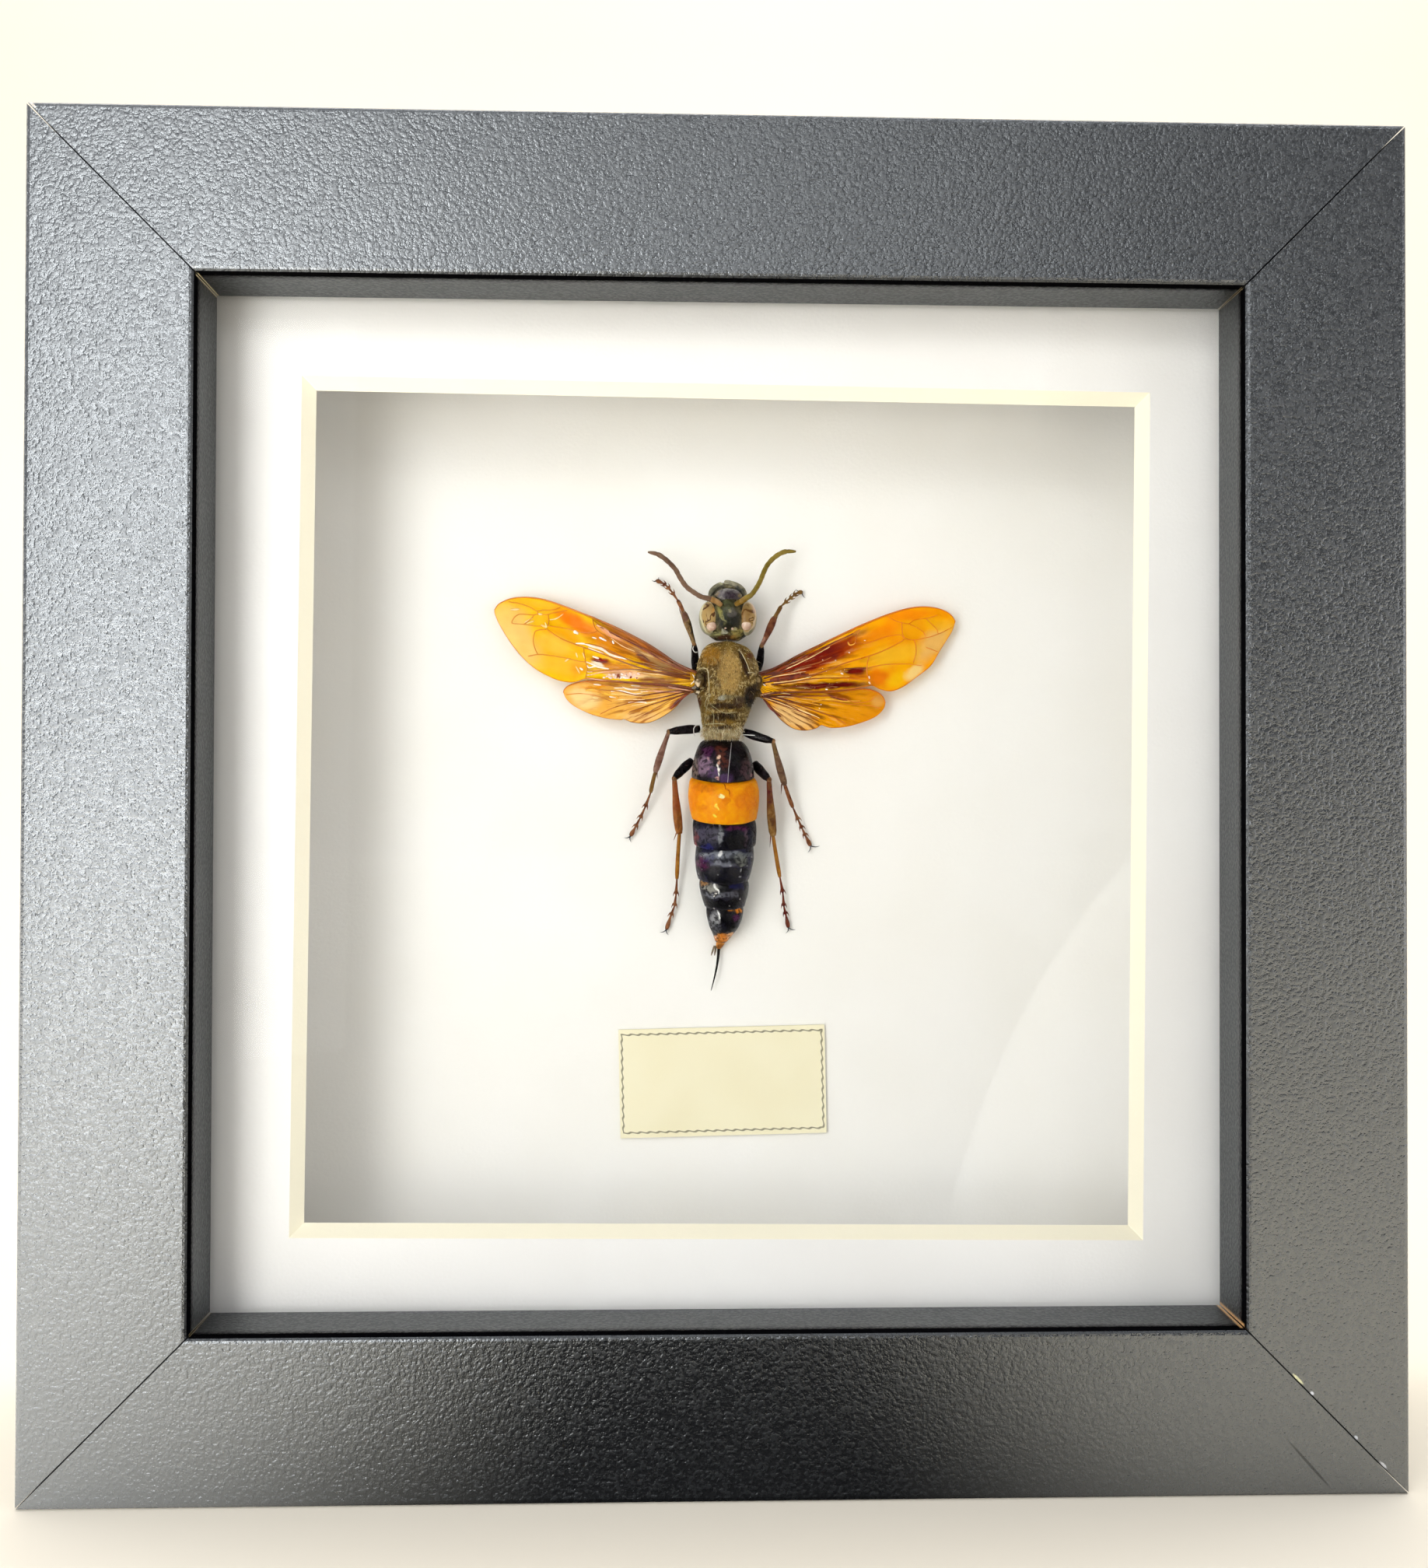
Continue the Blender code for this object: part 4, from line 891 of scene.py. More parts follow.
# %% Traced edges and veins
FORE_LEFT = {
    "lead": [(-2.7, 16.2), (-3.3, 16.45), (-4.3, 16.9), (-5.5, 17.55), (-6.9, 18.55), (-8.9, 19.85), (-11.1, 21.05),
        (-13.2, 22.1), (-15.5, 23.1), (-17.6, 23.95), (-19.8, 24.8), (-21.7, 25.45), (-23.2, 25.75), (-24.5, 25.85),
        (-25.8, 25.75), (-26.9, 25.4), (-27.7, 24.95), (-28.15, 24.3)],
    "trail": [(-2.7, 15.0), (-3.3, 14.4), (-5.4, 14.75), (-9.4, 15.0), (-12.4, 15.15), (-15.0, 15.35), (-16.6, 15.5),
        (-17.6, 15.2), (-18.6, 15.1), (-20.0, 15.35), (-21.4, 15.95), (-22.9, 16.8), (-24.3, 18.0), (-25.5, 19.35),
        (-26.6, 20.9), (-27.6, 22.6), (-28.1, 23.8), (-28.15, 24.3)],
    "main": [[(-3.5, 16.3), (-4.9, 16.88), (-6.6, 17.9), (-8.35, 18.77), (-10.4, 19.93), (-12.5, 20.96),
            (-14.0, 21.69), (-15.1, 22.42), (-15.7, 22.93)],
        [(-3.5, 15.4), (-6.05, 15.82), (-8.63, 16.48), (-10.6, 17.07), (-12.5, 17.8), (-14.7, 18.68), (-16.85, 19.42),
            (-18.2, 19.93), (-19.3, 20.38), (-20.5, 21.04), (-21.5, 21.77)],
        [(-3.5, 15.5), (-5.34, 15.88), (-8.2, 16.33), (-10.35, 16.6), (-12.5, 16.6), (-14.7, 16.5), (-16.4, 16.4)],
        [(-3.3, 14.25), (-4.6, 14.5), (-7.5, 14.8), (-10.35, 15.03), (-12.5, 15.2), (-14.7, 15.42), (-16.55, 15.67)],
        [(-3.5, 15.9), (-6.05, 16.18), (-8.9, 17.05), (-11.1, 17.79), (-13.5, 18.96), (-15.4, 19.69),
            (-16.7, 19.85)]],
    "small": [[(-26.35, 25.3), (-24.74, 24.99), (-23.57, 24.54), (-22.84, 24.1), (-21.96, 24.16), (-20.65, 24.21),
            (-19.78, 24.49)], [(-18.9, 24.12), (-19.92, 23.92), (-21.23, 23.64), (-21.23, 22.92), (-21.3, 22.2)],
        [(-21.22, 22.13), (-19.91, 22.01), (-18.75, 21.77), (-17.59, 21.41), (-16.43, 21.26), (-15.56, 21.3),
            (-15.13, 21.49)], [(-15.7, 22.93), (-15.27, 21.7), (-14.11, 20.83), (-13.1, 19.81)],
        [(-22.69, 24.02), (-22.69, 23.66), (-23.27, 23.59), (-24.15, 23.68), (-25.03, 23.69), (-25.61, 23.33),
            (-25.9, 22.83), (-25.83, 22.54), (-24.87, 22.45), (-23.7, 22.3), (-22.68, 22.14), (-21.3, 22.2)],
        [(-22.69, 23.66), (-21.9, 23.6), (-21.3, 23.64)], [(-23.12, 23.55), (-23.6, 23.0), (-24.29, 22.45)],
        [(-21.58, 21.7), (-22.82, 21.57), (-23.11, 20.92), (-23.18, 20.2), (-22.96, 19.33), (-22.59, 18.6)],
        [(-23.83, 18.39), (-22.59, 18.6), (-21.35, 18.52), (-19.9, 18.29), (-18.73, 18.06), (-17.57, 17.77),
            (-16.6, 17.62)], [(-16.85, 19.42), (-16.7, 18.41), (-16.56, 17.54), (-16.34, 16.68), (-16.55, 15.67)]],
}
FORE_RIGHT = {
    "lead": [(5.0, 16.1), (5.65, 16.3), (6.9, 16.75), (8.4, 17.55), (10.0, 18.45), (12.3, 19.6), (14.6, 20.75),
        (17.1, 21.98), (19.6, 23.1), (21.8, 23.97), (24.0, 24.65), (25.8, 24.93), (27.6, 24.87), (29.0, 24.45),
        (29.9, 23.8), (30.25, 23.2)],
    "trail": [(5.0, 14.8), (5.65, 13.5), (7.4, 13.75), (10.0, 13.9), (13.1, 14.1), (16.6, 14.35), (19.2, 14.85),
        (20.5, 14.4), (21.9, 14.2), (23.5, 14.8), (25.3, 16.1), (27.05, 17.5), (28.1, 19.2), (29.0, 20.6),
        (29.85, 22.0), (30.25, 23.2)],
    "main": [[(5.5, 15.95), (7.14, 16.12), (8.59, 16.86), (10.48, 17.76), (12.22, 18.66), (13.98, 19.7),
            (15.89, 20.75), (17.8, 21.81)],
        [(5.56, 14.95), (7.14, 15.26), (9.32, 15.73), (11.5, 15.98), (13.69, 16.67), (15.89, 17.58), (18.1, 18.27),
            (19.58, 18.73), (21.81, 19.72), (23.52, 20.7)],
        [(6.13, 14.67), (9.32, 15.16), (11.65, 15.55), (15.16, 15.75), (18.77, 15.53)],
        [(5.6, 13.35), (7.4, 13.75), (10.0, 13.95), (13.7, 14.1), (16.63, 14.4), (19.29, 14.85)],
        [(5.7, 15.5), (7.9, 16.2), (10.4, 17.0), (12.6, 17.6), (14.2, 18.3)]],
    "small": [[(17.8, 21.81), (17.51, 21.22), (17.21, 20.2)],
        [(17.21, 20.2), (18.54, 20.16), (19.87, 20.55), (21.06, 21.01), (22.25, 21.26), (23.14, 21.28),
            (23.52, 20.78)],
        [(21.5, 23.64), (22.25, 23.15), (23.29, 22.84), (24.19, 22.76), (24.79, 23.21), (25.53, 23.37),
            (26.73, 23.55), (27.94, 23.97)],
        [(23.22, 22.83), (23.29, 22.08), (23.37, 21.36), (23.74, 20.85), (24.49, 20.73), (25.54, 20.82),
            (26.44, 21.06), (27.19, 21.22), (28.54, 21.76), (29.7, 22.38)],
        [(24.19, 22.71), (24.79, 22.48), (25.54, 22.13), (26.14, 21.71), (26.36, 21.2)],
        [(26.43, 23.45), (27.04, 22.9), (27.79, 22.19), (28.02, 21.61)],
        [(24.86, 20.73), (25.09, 20.08), (25.17, 19.21), (24.94, 18.33), (24.79, 17.75)],
        [(19.0, 17.1), (21.07, 17.53), (22.55, 17.63), (24.05, 17.66), (25.84, 17.48)],
        [(26.44, 19.82), (27.19, 19.54), (27.94, 19.27)],
        [(18.99, 18.4), (18.77, 17.34), (18.77, 16.47), (18.99, 15.61), (19.3, 14.9)]],
}
HIND_LEFT = {
    "lead": [(-2.7, 13.95), (-3.3, 14.1), (-5.5, 14.45), (-8.3, 14.85), (-11.8, 15.1), (-14.7, 15.3), (-16.6, 15.25),
        (-17.8, 15.05), (-18.7, 14.75), (-19.3, 14.25), (-19.4, 13.85)],
    "trail": [(-2.7, 13.7), (-3.3, 13.75), (-4.3, 13.1), (-5.4, 11.85), (-6.8, 10.85), (-8.3, 10.15), (-9.5, 9.98),
        (-10.8, 10.12), (-11.75, 10.5), (-12.2, 10.42), (-14.1, 10.62), (-16.1, 11.2), (-18.0, 12.15), (-19.0, 13.05),
        (-19.4, 13.85)],
    "main": [[(-3.3, 13.98), (-5.33, 13.96), (-7.77, 13.68), (-9.93, 13.4), (-12.53, 13.98), (-14.71, 14.14),
            (-16.59, 14.43)],
        [(-3.4, 13.95), (-4.62, 13.75), (-6.77, 13.2), (-7.77, 13.03), (-9.93, 12.7), (-11.66, 12.32),
            (-13.25, 11.82), (-14.69, 11.11)],
        [(-3.4, 13.9), (-5.0, 13.3), (-6.77, 12.75), (-8.92, 12.1), (-11.08, 11.39)]],
    "small": [[(-3.4, 13.85), (-4.3, 13.25), (-5.19, 12.66), (-6.04, 11.8)],
        [(-19.06, 13.58), (-17.17, 13.71), (-15.28, 13.42), (-13.25, 12.69)],
        [(-16.59, 15.2), (-14.71, 14.8), (-11.81, 14.45), (-8.3, 14.2)]],
}
HIND_RIGHT = {
    "lead": [(5.0, 13.5), (5.5, 13.5), (7.2, 13.8), (10.5, 13.95), (13.8, 14.0), (16.5, 14.3), (18.4, 14.45),
        (19.5, 14.3), (20.4, 13.95), (21.0, 13.4), (21.25, 12.75)],
    "trail": [(5.0, 13.3), (5.5, 13.15), (6.0, 12.7), (7.0, 11.45), (8.2, 10.2), (9.5, 9.4), (10.9, 9.17),
        (12.3, 9.42), (13.05, 9.85), (13.6, 9.68), (14.5, 9.52), (16.4, 9.72), (18.4, 10.3), (20.0, 11.0),
        (21.0, 11.95), (21.25, 12.75)],
    "main": [[(5.5, 13.3), (6.49, 13.32), (8.38, 12.91), (10.86, 12.08), (12.62, 11.52), (14.38, 10.97),
            (15.71, 10.26), (16.15, 9.97)],
        [(5.6, 13.25), (6.49, 13.1), (8.53, 12.4), (10.57, 11.44), (12.62, 10.46)],
        [(5.6, 13.32), (8.0, 13.42), (10.13, 13.4), (12.91, 13.5), (14.08, 13.5), (16.0, 13.16), (17.32, 12.74),
            (18.95, 12.84), (19.84, 13.36)]],
    "small": [[(14.6, 12.9), (16.2, 12.55), (17.62, 12.46), (19.4, 12.33), (20.73, 11.99)],
        [(5.77, 12.88), (6.49, 12.1), (7.37, 11.17)], [(9.0, 13.42), (11.5, 13.1), (13.6, 12.9), (14.6, 12.9)]],
}
print("veins:", [len(w["main"]) + len(w["small"]) for w in (FORE_LEFT, FORE_RIGHT, HIND_LEFT, HIND_RIGHT)])

# %% [markdown]
# Between the veins the dry sheet is creased. Where the crests catch the lamp they are
# painted as crisp pale lines, a painted highlight, and the deep folds are painted dark, a
# painted shade. They are raised shapes, so each is a flat thin rod that
# swells in its middle, with its own half width, laid on the sheet along a traced line.

# %% Traced creases
# glitter is two rows of short rods on the left forewing, and glints are scattered on the right one; both are painted
# highlights
GLITTER_AT = (-14.4, -14.0, -13.5, -13.1, -12.8, -12.3, -11.9, -11.4, -11.0, -10.7, -10.3, -13.7, -12.6, -11.6)
GLITTER = []
for k, a in enumerate(GLITTER_AT):
    ends = [(a, 15.62 + 0.12 * math.sin(2.3 * k)), (a + 0.34, 15.66 + 0.14 * math.sin(1.7 * k))]
    GLITTER.append((0.13 + 0.03 * (k % 3), ends))
for k in range(8):
    ends = [(-13.7 + 0.52 * k, 16.05 + 0.12 * math.sin(2.9 * k)), (-13.35 + 0.52 * k, 16.0)]
    GLITTER.append((0.16 + 0.05 * (k % 3), ends))
GLINTS = []
for k in range(18):
    up = 14.35 + 2.6 * (0.5 + 0.5 * math.sin(5.1 * k))
    GLINTS.append((0.03 + 0.008 * (k % 4), [(8.8 + 0.47 * k, up), (8.9 + 0.47 * k, up)]))
# the glare and glitter creases are painted highlights, and the dark ones are painted shade in the folds
CREASES = {
    "forewing_left": {
        "glare": [(0.16, [(-17.8, 19.93), (-16.8, 19.86), (-15.7, 19.51), (-14.5, 19.16), (-13.5, 18.52),
                    (-12.5, 18.17), (-11.2, 17.86)]), (0.09, [(-16.2, 19.35), (-15.3, 19.0), (-14.3, 18.62)]),
            (0.11, [(-16.46, 17.62), (-15.24, 17.16), (-14.02, 16.73)]),
            (0.12, [(-16.4, 17.2), (-16.1, 16.9), (-15.39, 17.05), (-14.67, 16.9), (-13.6, 16.7)]),
            (0.22, [(-18.08, 21.5), (-17.5, 21.15)]), (0.13, [(-15.68, 18.31), (-14.89, 18.03)]),
            (0.1, [(-15.75, 20.7), (-15.2, 20.53)]), (0.13, [(-14.85, 20.68), (-13.95, 20.22)]),
            (0.12, [(-13.2, 20.25), (-13.02, 19.85)]), (0.08, [(-16.4, 15.95), (-15.7, 16.05)]),
            (0.09, [(-16.4, 16.38), (-15.7, 16.38)]), (0.08, [(-3.4, 14.75), (-2.9, 15.3), (-3.2, 16.0)]),
            (0.12, [(-16.9, 16.6), (-17.3, 16.9)])],
        "cream": [(0.07, [(-9.9, 16.25), (-8.2, 16.04), (-6.05, 15.8), (-3.9, 15.57)]),
            (0.09, [(-21.1, 22.97), (-20.25, 23.12), (-19.4, 23.7)]), (0.08, [(-24.3, 22.62), (-23.3, 23.21)]),
            (0.08, [(-24.0, 22.5), (-23.1, 22.85)]), (0.13, [(-22.6, 23.7), (-22.0, 23.6)]),
            (0.13, [(-26.1, 24.3), (-25.0, 24.35)]), (0.09, [(-17.8, 18.8), (-17.6, 18.2)]),
            (0.08, [(-16.95, 18.8), (-16.6, 17.9)]), (0.12, [(-19.2, 17.7), (-18.7, 18.05)]),
            (0.14, [(-22.2, 22.3), (-21.5, 22.0), (-21.7, 22.6)]), (0.1, [(-17.8, 17.1), (-17.3, 16.2)]),
            (0.05, [(-13.4, 20.6), (-12.0, 19.6), (-10.4, 18.9)]),
            (0.05, [(-12.4, 16.55), (-10.0, 16.5), (-7.0, 16.35)])],
        "pink": [(0.1, [(-15.2, 22.2), (-14.5, 21.9), (-13.8, 21.46), (-13.3, 20.8)]),
            (0.07, [(-16.4, 15.9), (-14.66, 16.28), (-12.8, 16.43), (-10.65, 16.37)]),
            (0.07, [(-16.4, 15.6), (-14.66, 15.35), (-12.4, 15.25)]),
            (0.07, [(-6.2, 14.45), (-4.6, 14.15), (-3.2, 13.9)])],
        "dark": [(0.09, [(-15.6, 17.85), (-14.8, 17.62), (-13.8, 17.6)]),
            (0.08, [(-10.3, 18.45), (-9.4, 18.35), (-8.5, 17.6)]),
            (0.12, [(-12.3, 15.12), (-11.0, 14.98), (-9.4, 14.86), (-7.5, 14.7), (-5.8, 14.5)]),
            (0.07, [(-6.4, 14.62), (-4.6, 14.4), (-3.2, 14.12)]),
            (0.1, [(-15.2, 22.25), (-12.5, 20.78), (-9.64, 19.35), (-6.78, 17.65), (-3.9, 16.25)]),
            (0.06, [(-10.5, 17.6), (-8.0, 17.1), (-5.0, 16.3)])],
        "glitter": GLITTER,
    },
    "forewing_right": {
        "glare": [(0.12, [(15.4, 16.35), (15.75, 16.2)]), (0.08, [(14.65, 17.95), (14.85, 17.9)]),
            (0.05, [(16.4, 18.97), (16.6, 18.93)]), (0.09, [(18.4, 20.5), (18.6, 20.5)]),
            (0.09, [(13.45, 14.28), (13.75, 14.25)]), (0.09, [(19.05, 16.05), (19.02, 15.65)]),
            (0.09, [(18.95, 15.3), (19.15, 15.0)]), (0.05, [(13.0, 17.95), (13.15, 17.9)]),
            (0.05, [(12.4, 19.6), (12.55, 19.55)]), (0.04, [(10.8, 14.35), (10.95, 14.3)]),
            (0.09, [(5.5, 14.9), (5.9, 14.6)])] + GLINTS,
        "cream": [(0.09, [(7.0, 16.0), (8.34, 16.66), (10.06, 17.47), (12.2, 18.6), (14.0, 19.6)]),
            (0.07, [(6.2, 15.6), (8.0, 15.95), (9.6, 16.2), (11.0, 16.5)]),
            (0.08, [(6.9, 14.98), (8.2, 15.12), (10.07, 15.42), (11.65, 15.84)]),
            (0.06, [(5.2, 13.42), (7.2, 13.75), (9.0, 13.6)]), (0.05, [(7.8, 14.75), (10.0, 15.1), (12.5, 15.25)])],
        "gold": [(0.16, [(11.6, 15.7), (13.66, 15.9), (16.55, 15.95)]),
            (0.3, [(5.7, 15.1), (6.3, 14.75), (6.9, 14.6)]), (0.12, [(16.3, 20.3), (16.6, 19.9), (17.2, 20.1)])],
        "dark": [(0.22, [(5.2, 15.95), (6.9, 16.2), (8.2, 16.95), (9.6, 17.8), (11.0, 18.6)]),
            (0.13, [(9.5, 17.6), (12.24, 18.98), (14.4, 20.08), (16.3, 20.95), (17.4, 21.6)]),
            (0.3, [(6.4, 15.25), (7.9, 15.5), (9.6, 15.8), (11.3, 16.1)]),
            (0.08, [(4.9, 13.37), (6.19, 13.73), (7.9, 13.9)]), (0.08, [(7.9, 13.46), (9.9, 13.6)]),
            (0.1, [(15.9, 16.95), (17.5, 17.02), (18.7, 17.02)]),
            (0.12, [(8.0, 14.2), (10.1, 14.6), (12.3, 14.62), (14.6, 14.85)])],
    },
    "hindwing_left": {
        "glare": [(0.12, [(-12.0, 14.5), (-11.1, 14.23), (-9.9, 14.17)]),
            (0.09, [(-13.4, 13.94), (-12.1, 14.02), (-10.5, 13.62), (-9.4, 13.75)]),
            (0.1, [(-11.2, 12.54), (-9.9, 12.62), (-8.9, 12.55)]), (0.1, [(-15.6, 14.9), (-14.6, 14.75)]),
            (0.08, [(-13.0, 14.35), (-11.6, 14.4)]), (0.09, [(-10.9, 14.7), (-9.7, 14.6)]),
            (0.1, [(-13.6, 13.3), (-12.7, 13.2)]), (0.07, [(-9.7, 13.95), (-8.7, 13.9)])],
        "cream": [(0.06, [(-13.6, 13.65), (-11.5, 13.55), (-9.9, 13.35), (-8.6, 13.45)]),
            (0.06, [(-12.6, 12.9), (-10.6, 12.95), (-8.8, 12.9)]),
            (0.06, [(-10.8, 12.2), (-9.2, 12.4), (-7.6, 12.75)]), (0.1, [(-15.7, 13.2), (-15.0, 13.1)])],
        "pink": [(0.08, [(-3.2, 13.72), (-5.0, 13.85), (-7.0, 13.85), (-9.0, 14.05)]),
            (0.07, [(-4.0, 14.0), (-6.0, 14.3), (-8.6, 14.45), (-10.8, 14.4)])],
        "gold": [(0.2, [(-16.6, 14.1), (-15.4, 14.15), (-14.1, 13.7), (-12.4, 13.2)]),
            (0.12, [(-9.5, 13.1), (-7.0, 13.1), (-5.2, 13.4)])],
        "dark": [(0.22, [(-5.9, 11.7), (-5.2, 12.5), (-4.6, 13.05), (-3.8, 13.6)]),
            (0.06, [(-9.6, 10.9), (-8.2, 11.6), (-6.8, 12.4), (-5.4, 13.1)])],
    },
    "hindwing_right": {
        "glare": [(0.09, [(12.9, 12.45), (13.1, 12.4)]), (0.08, [(12.7, 11.95), (12.85, 11.9)]),
            (0.07, [(8.6, 12.9), (8.9, 12.8)])],
        "cream": [(0.08, [(5.8, 13.15), (7.4, 12.7), (9.4, 11.95), (11.7, 11.17), (12.8, 10.7)]),
            (0.07, [(6.2, 13.45), (8.0, 13.3), (9.9, 13.35)])],
        "gold": [(0.14, [(11.8, 12.7), (13.6, 13.1), (16.0, 12.9), (18.0, 12.95)]),
            (0.1, [(9.0, 13.1), (11.0, 12.7), (13.0, 12.3)])],
        "dark": [(0.08, [(5.9, 13.3), (7.9, 13.1), (9.7, 12.65), (11.7, 12.3)]),
            (0.08, [(5.8, 13.05), (7.6, 12.5), (9.6, 11.75), (11.7, 11.05)]),
            (0.16, [(5.7, 13.0), (6.5, 12.05), (7.1, 11.45), (7.9, 10.85)]),
            (0.2, [(13.9, 13.6), (15.2, 13.2), (16.6, 13.0)])],
    },
}
print("creases:", sum(len(lines) for kinds in CREASES.values() for lines in kinds.values()))


# %% Build the four wings
def make_vein_finish(name, dark, light):
    """Brown near the root, amber toward the tip."""
    finish, tree, shader, place = new_finish(name)
    mottle = clouds(tree, place, 300.0, 3.0, 0.6)
    across = maths(tree, "ABSOLUTE", axes(tree, place)["X"])
    outer = fade(tree, maths(tree, "MULTIPLY_ADD", mottle, 4.0 * MM, across), 8.0 * MM, 22.0 * MM)
    connect(tree, shader, {"Base Color": blend_colours(tree, outer, rgb(dark), rgb(light)),
            "Roughness": fade(tree, mottle, 0.0, 1.0, 0.25, 0.4)})
    return finish


def make_crease(name, dark, light, holes=None):
    """The finish of a crease. holes is the colour of small gaps in it."""
    finish, tree, shader, place = new_finish(name)
    pushed = stirred(tree, place, 900.0, 0.15)
    base = blend_colours(tree, clouds(tree, pushed, 900.0, 3.0, 0.8), shown(dark, 1.1), shown(light, 1.1))
    if holes:
        base = blend_colours(tree, fade(tree, clouds(tree, pushed, 1300.0, 2.0, 0.9), 0.62, 0.72), base, shown(holes))
    connect(tree, shader, {"Base Color": base, "Roughness": 0.35})
    bump(tree, shader, clouds(tree, pushed, 1700.0, 2.0), 0.04, 0.5)
    return finish


def add_creases(bm, kinds, slots, height):
    """Lays the creases of one wing on its sheet as flat rods that swell in the middle."""
    for kind, lines in kinds.items():
        for wide, line in lines:
            points = smooth_line(line, 5)
            count = len(points) - 1
            radii = []
            for k, point in enumerate(points):
                swell = 0.3 + 0.7 * math.sin(math.pi * (0.06 + 0.88 * k / count)) ** 0.7
                radii.append(wide * swell * (1.0 + 0.5 * noise.noise(point.to_3d() * 2.3)))
            add_tube(bm, [in_box(p.x, p.y, height(p) + 0.03) for p in points], radii, 6, slots[kind], 0.4)


def build_wing(name, node, traced, root, lift, droop, finishes, folds=(), columns=90, rows=34):
    """The sheet between the two edges, with its veins and creases. root, lift and droop are
    the across of the root, its height over the card and the fall to the tip in degrees."""
    ridges = [(line, 0.26, 0.55) for line in traced["main"]] + [(line, 0.08, 0.3) for line in traced["small"]]
    height = make_height(root, lift, droop, ridges + list(folds))
    lead, trail = resample(traced["lead"], columns + 1), resample(traced["trail"], columns + 1)
    bm = bmesh.new()
    grid = bmesh.ops.create_grid(bm, x_segments=columns, y_segments=rows, size=0.5)["verts"]
    for corner in grid:
        along, down = round((corner.co.x + 0.5) * columns), corner.co.y + 0.5
        point = lead[along].lerp(trail[along], down)
        corner.co = in_box(point.x, point.y, height(point))
    bmesh.ops.remove_doubles(bm, verts=bm.verts, dist=0.002 * MM)
    bmesh.ops.recalc_face_normals(bm, faces=bm.faces)
    bmesh.ops.solidify(bm, geom=bm.faces[:], thickness=0.04 * MM)
    sets = [(traced["lead"], 0.2, 0.05), (traced["trail"], 0.04, 0.03)]
    sets += [(line, 0.12, 0.052) for line in traced["main"]] + [(line, 0.055, 0.045) for line in traced["small"]]
    for line, thick, thin in sets:
        points = smooth_line(line, 4)
        radii = [thick + (thin - thick) * k / (len(points) - 1) for k in range(len(points))]
        add_tube(bm, [in_box(p.x, p.y, height(p) + 0.02) for p in points], radii, 6, 1)
    slots = {kind: 2 + k for k, kind in enumerate(CREASES[node])}
    add_creases(bm, CREASES[node], slots, height)
    finishes = finishes + [CREASE_FINISHES[kind] for kind in CREASES[node]]
    return new_piece(name, bm, finishes, node)


VEIN_LEFT = make_vein_finish("vein_brown", (112, 54, 12), (204, 118, 4))
VEIN_RIGHT = make_vein_finish("vein_red_brown", (86, 28, 8), (206, 112, 4))
# glare and glitter are painted highlights, and dark is painted shade in the folds
CREASE_FINISHES = {
    "glare": make_crease("crease_painted_glare", (255, 232, 206), (255, 252, 246)),
    "cream": make_crease("crease_cream", (250, 204, 130), (255, 232, 176)),
    "pink": make_crease("crease_pink", (222, 144, 104), (250, 204, 176)),
    "gold": make_crease("crease_gold", (222, 146, 20), (250, 190, 60)),
    "dark": make_crease("crease_painted_shade", (84, 18, 10), (150, 66, 20)),
    "glitter": make_crease("crease_painted_glints", (250, 200, 180), (255, 252, 250), (150, 70, 40)),
}
AMBER = {
    "fl": make_membrane("amber_fore_left", (253, 192, 2), (255, 216, 24), (-1.6, 15.3), (128, 66, 22),
        FORE_LEFT_SPOTS, FORE_LEFT_SOLID, 0.45),
    "fr": make_membrane("amber_fore_right", (254, 164, 0), (255, 196, 6), (3.9, 14.9), (96, 22, 8), FORE_RIGHT_SPOTS,
        FORE_RIGHT_SOLID, 0.4),
    "hl": make_membrane("amber_hind_left", (246, 182, 62), (253, 206, 112), (-2.2, 14.0), (170, 96, 40),
        HIND_LEFT_SPOTS, HIND_LEFT_SOLID, 0.5),
    "hr": make_membrane("amber_hind_right", (234, 150, 2), (246, 180, 22), (4.6, 13.5), (120, 60, 14),
        HIND_RIGHT_SPOTS, HIND_RIGHT_SOLID, 0.6),
}
FOLDS_LEFT = [([(-3.6, 16.6), (-9.0, 19.3), (-15.0, 22.6)], -0.35, 0.35),
    ([(-4.0, 15.1), (-9.0, 15.6), (-16.0, 16.0)], -0.3, 0.35)]
FOLDS_RIGHT = [([(6.0, 16.2), (10.3, 18.1), (17.0, 21.6)], -0.3, 0.3),
    ([(6.0, 14.2), (11.0, 14.8), (18.0, 15.1)], -0.35, 0.35)]
WINGS = [build_wing("amber_forewing_left", "forewing_left", FORE_LEFT, -3.3, 4.6, FORE_DROOP,
        [AMBER["fl"], VEIN_LEFT], FOLDS_LEFT),
    build_wing("amber_forewing_right", "forewing_right", FORE_RIGHT, 5.65, 4.6, FORE_DROOP, [AMBER["fr"], VEIN_RIGHT],
        FOLDS_RIGHT),
    build_wing("amber_hindwing_left", "hindwing_left", HIND_LEFT, -3.2, 3.7, HIND_DROOP, [AMBER["hl"], VEIN_LEFT]),
    build_wing("amber_hindwing_right", "hindwing_right", HIND_RIGHT, 5.45, 3.7, HIND_DROOP,
        [AMBER["hr"], VEIN_RIGHT])]
print("wing faces:", [len(w.data.polygons) for w in WINGS])

# %% [markdown]
# ## The legs
# Each leg is one grown piece: a thick dark thigh, a brown shin that widens to its end and
# carries a spur, then a foot of five joints. The first foot joint is long, the next three
# are small triangles with a spine at each corner, and the last widens toward two hooked
# claws. One function builds them all from the measured hip, knee, ankle and foot joints.


# %% Build a leg from its joints
def taper(shares, count):
    """Radii along a limb from (share of the length, radius) pairs."""
    radii = []
    for k in range(count):
        t = k / (count - 1)
        low, high = next((a, b) for a, b in zip(shares, shares[1:]) if t <= b[0] + 1e-9)
        mix = (t - low[0]) / (high[0] - low[0])
        mix = mix * mix * (3.0 - 2.0 * mix)
        radii.append(low[1] + (high[1] - low[1]) * mix)
    return radii


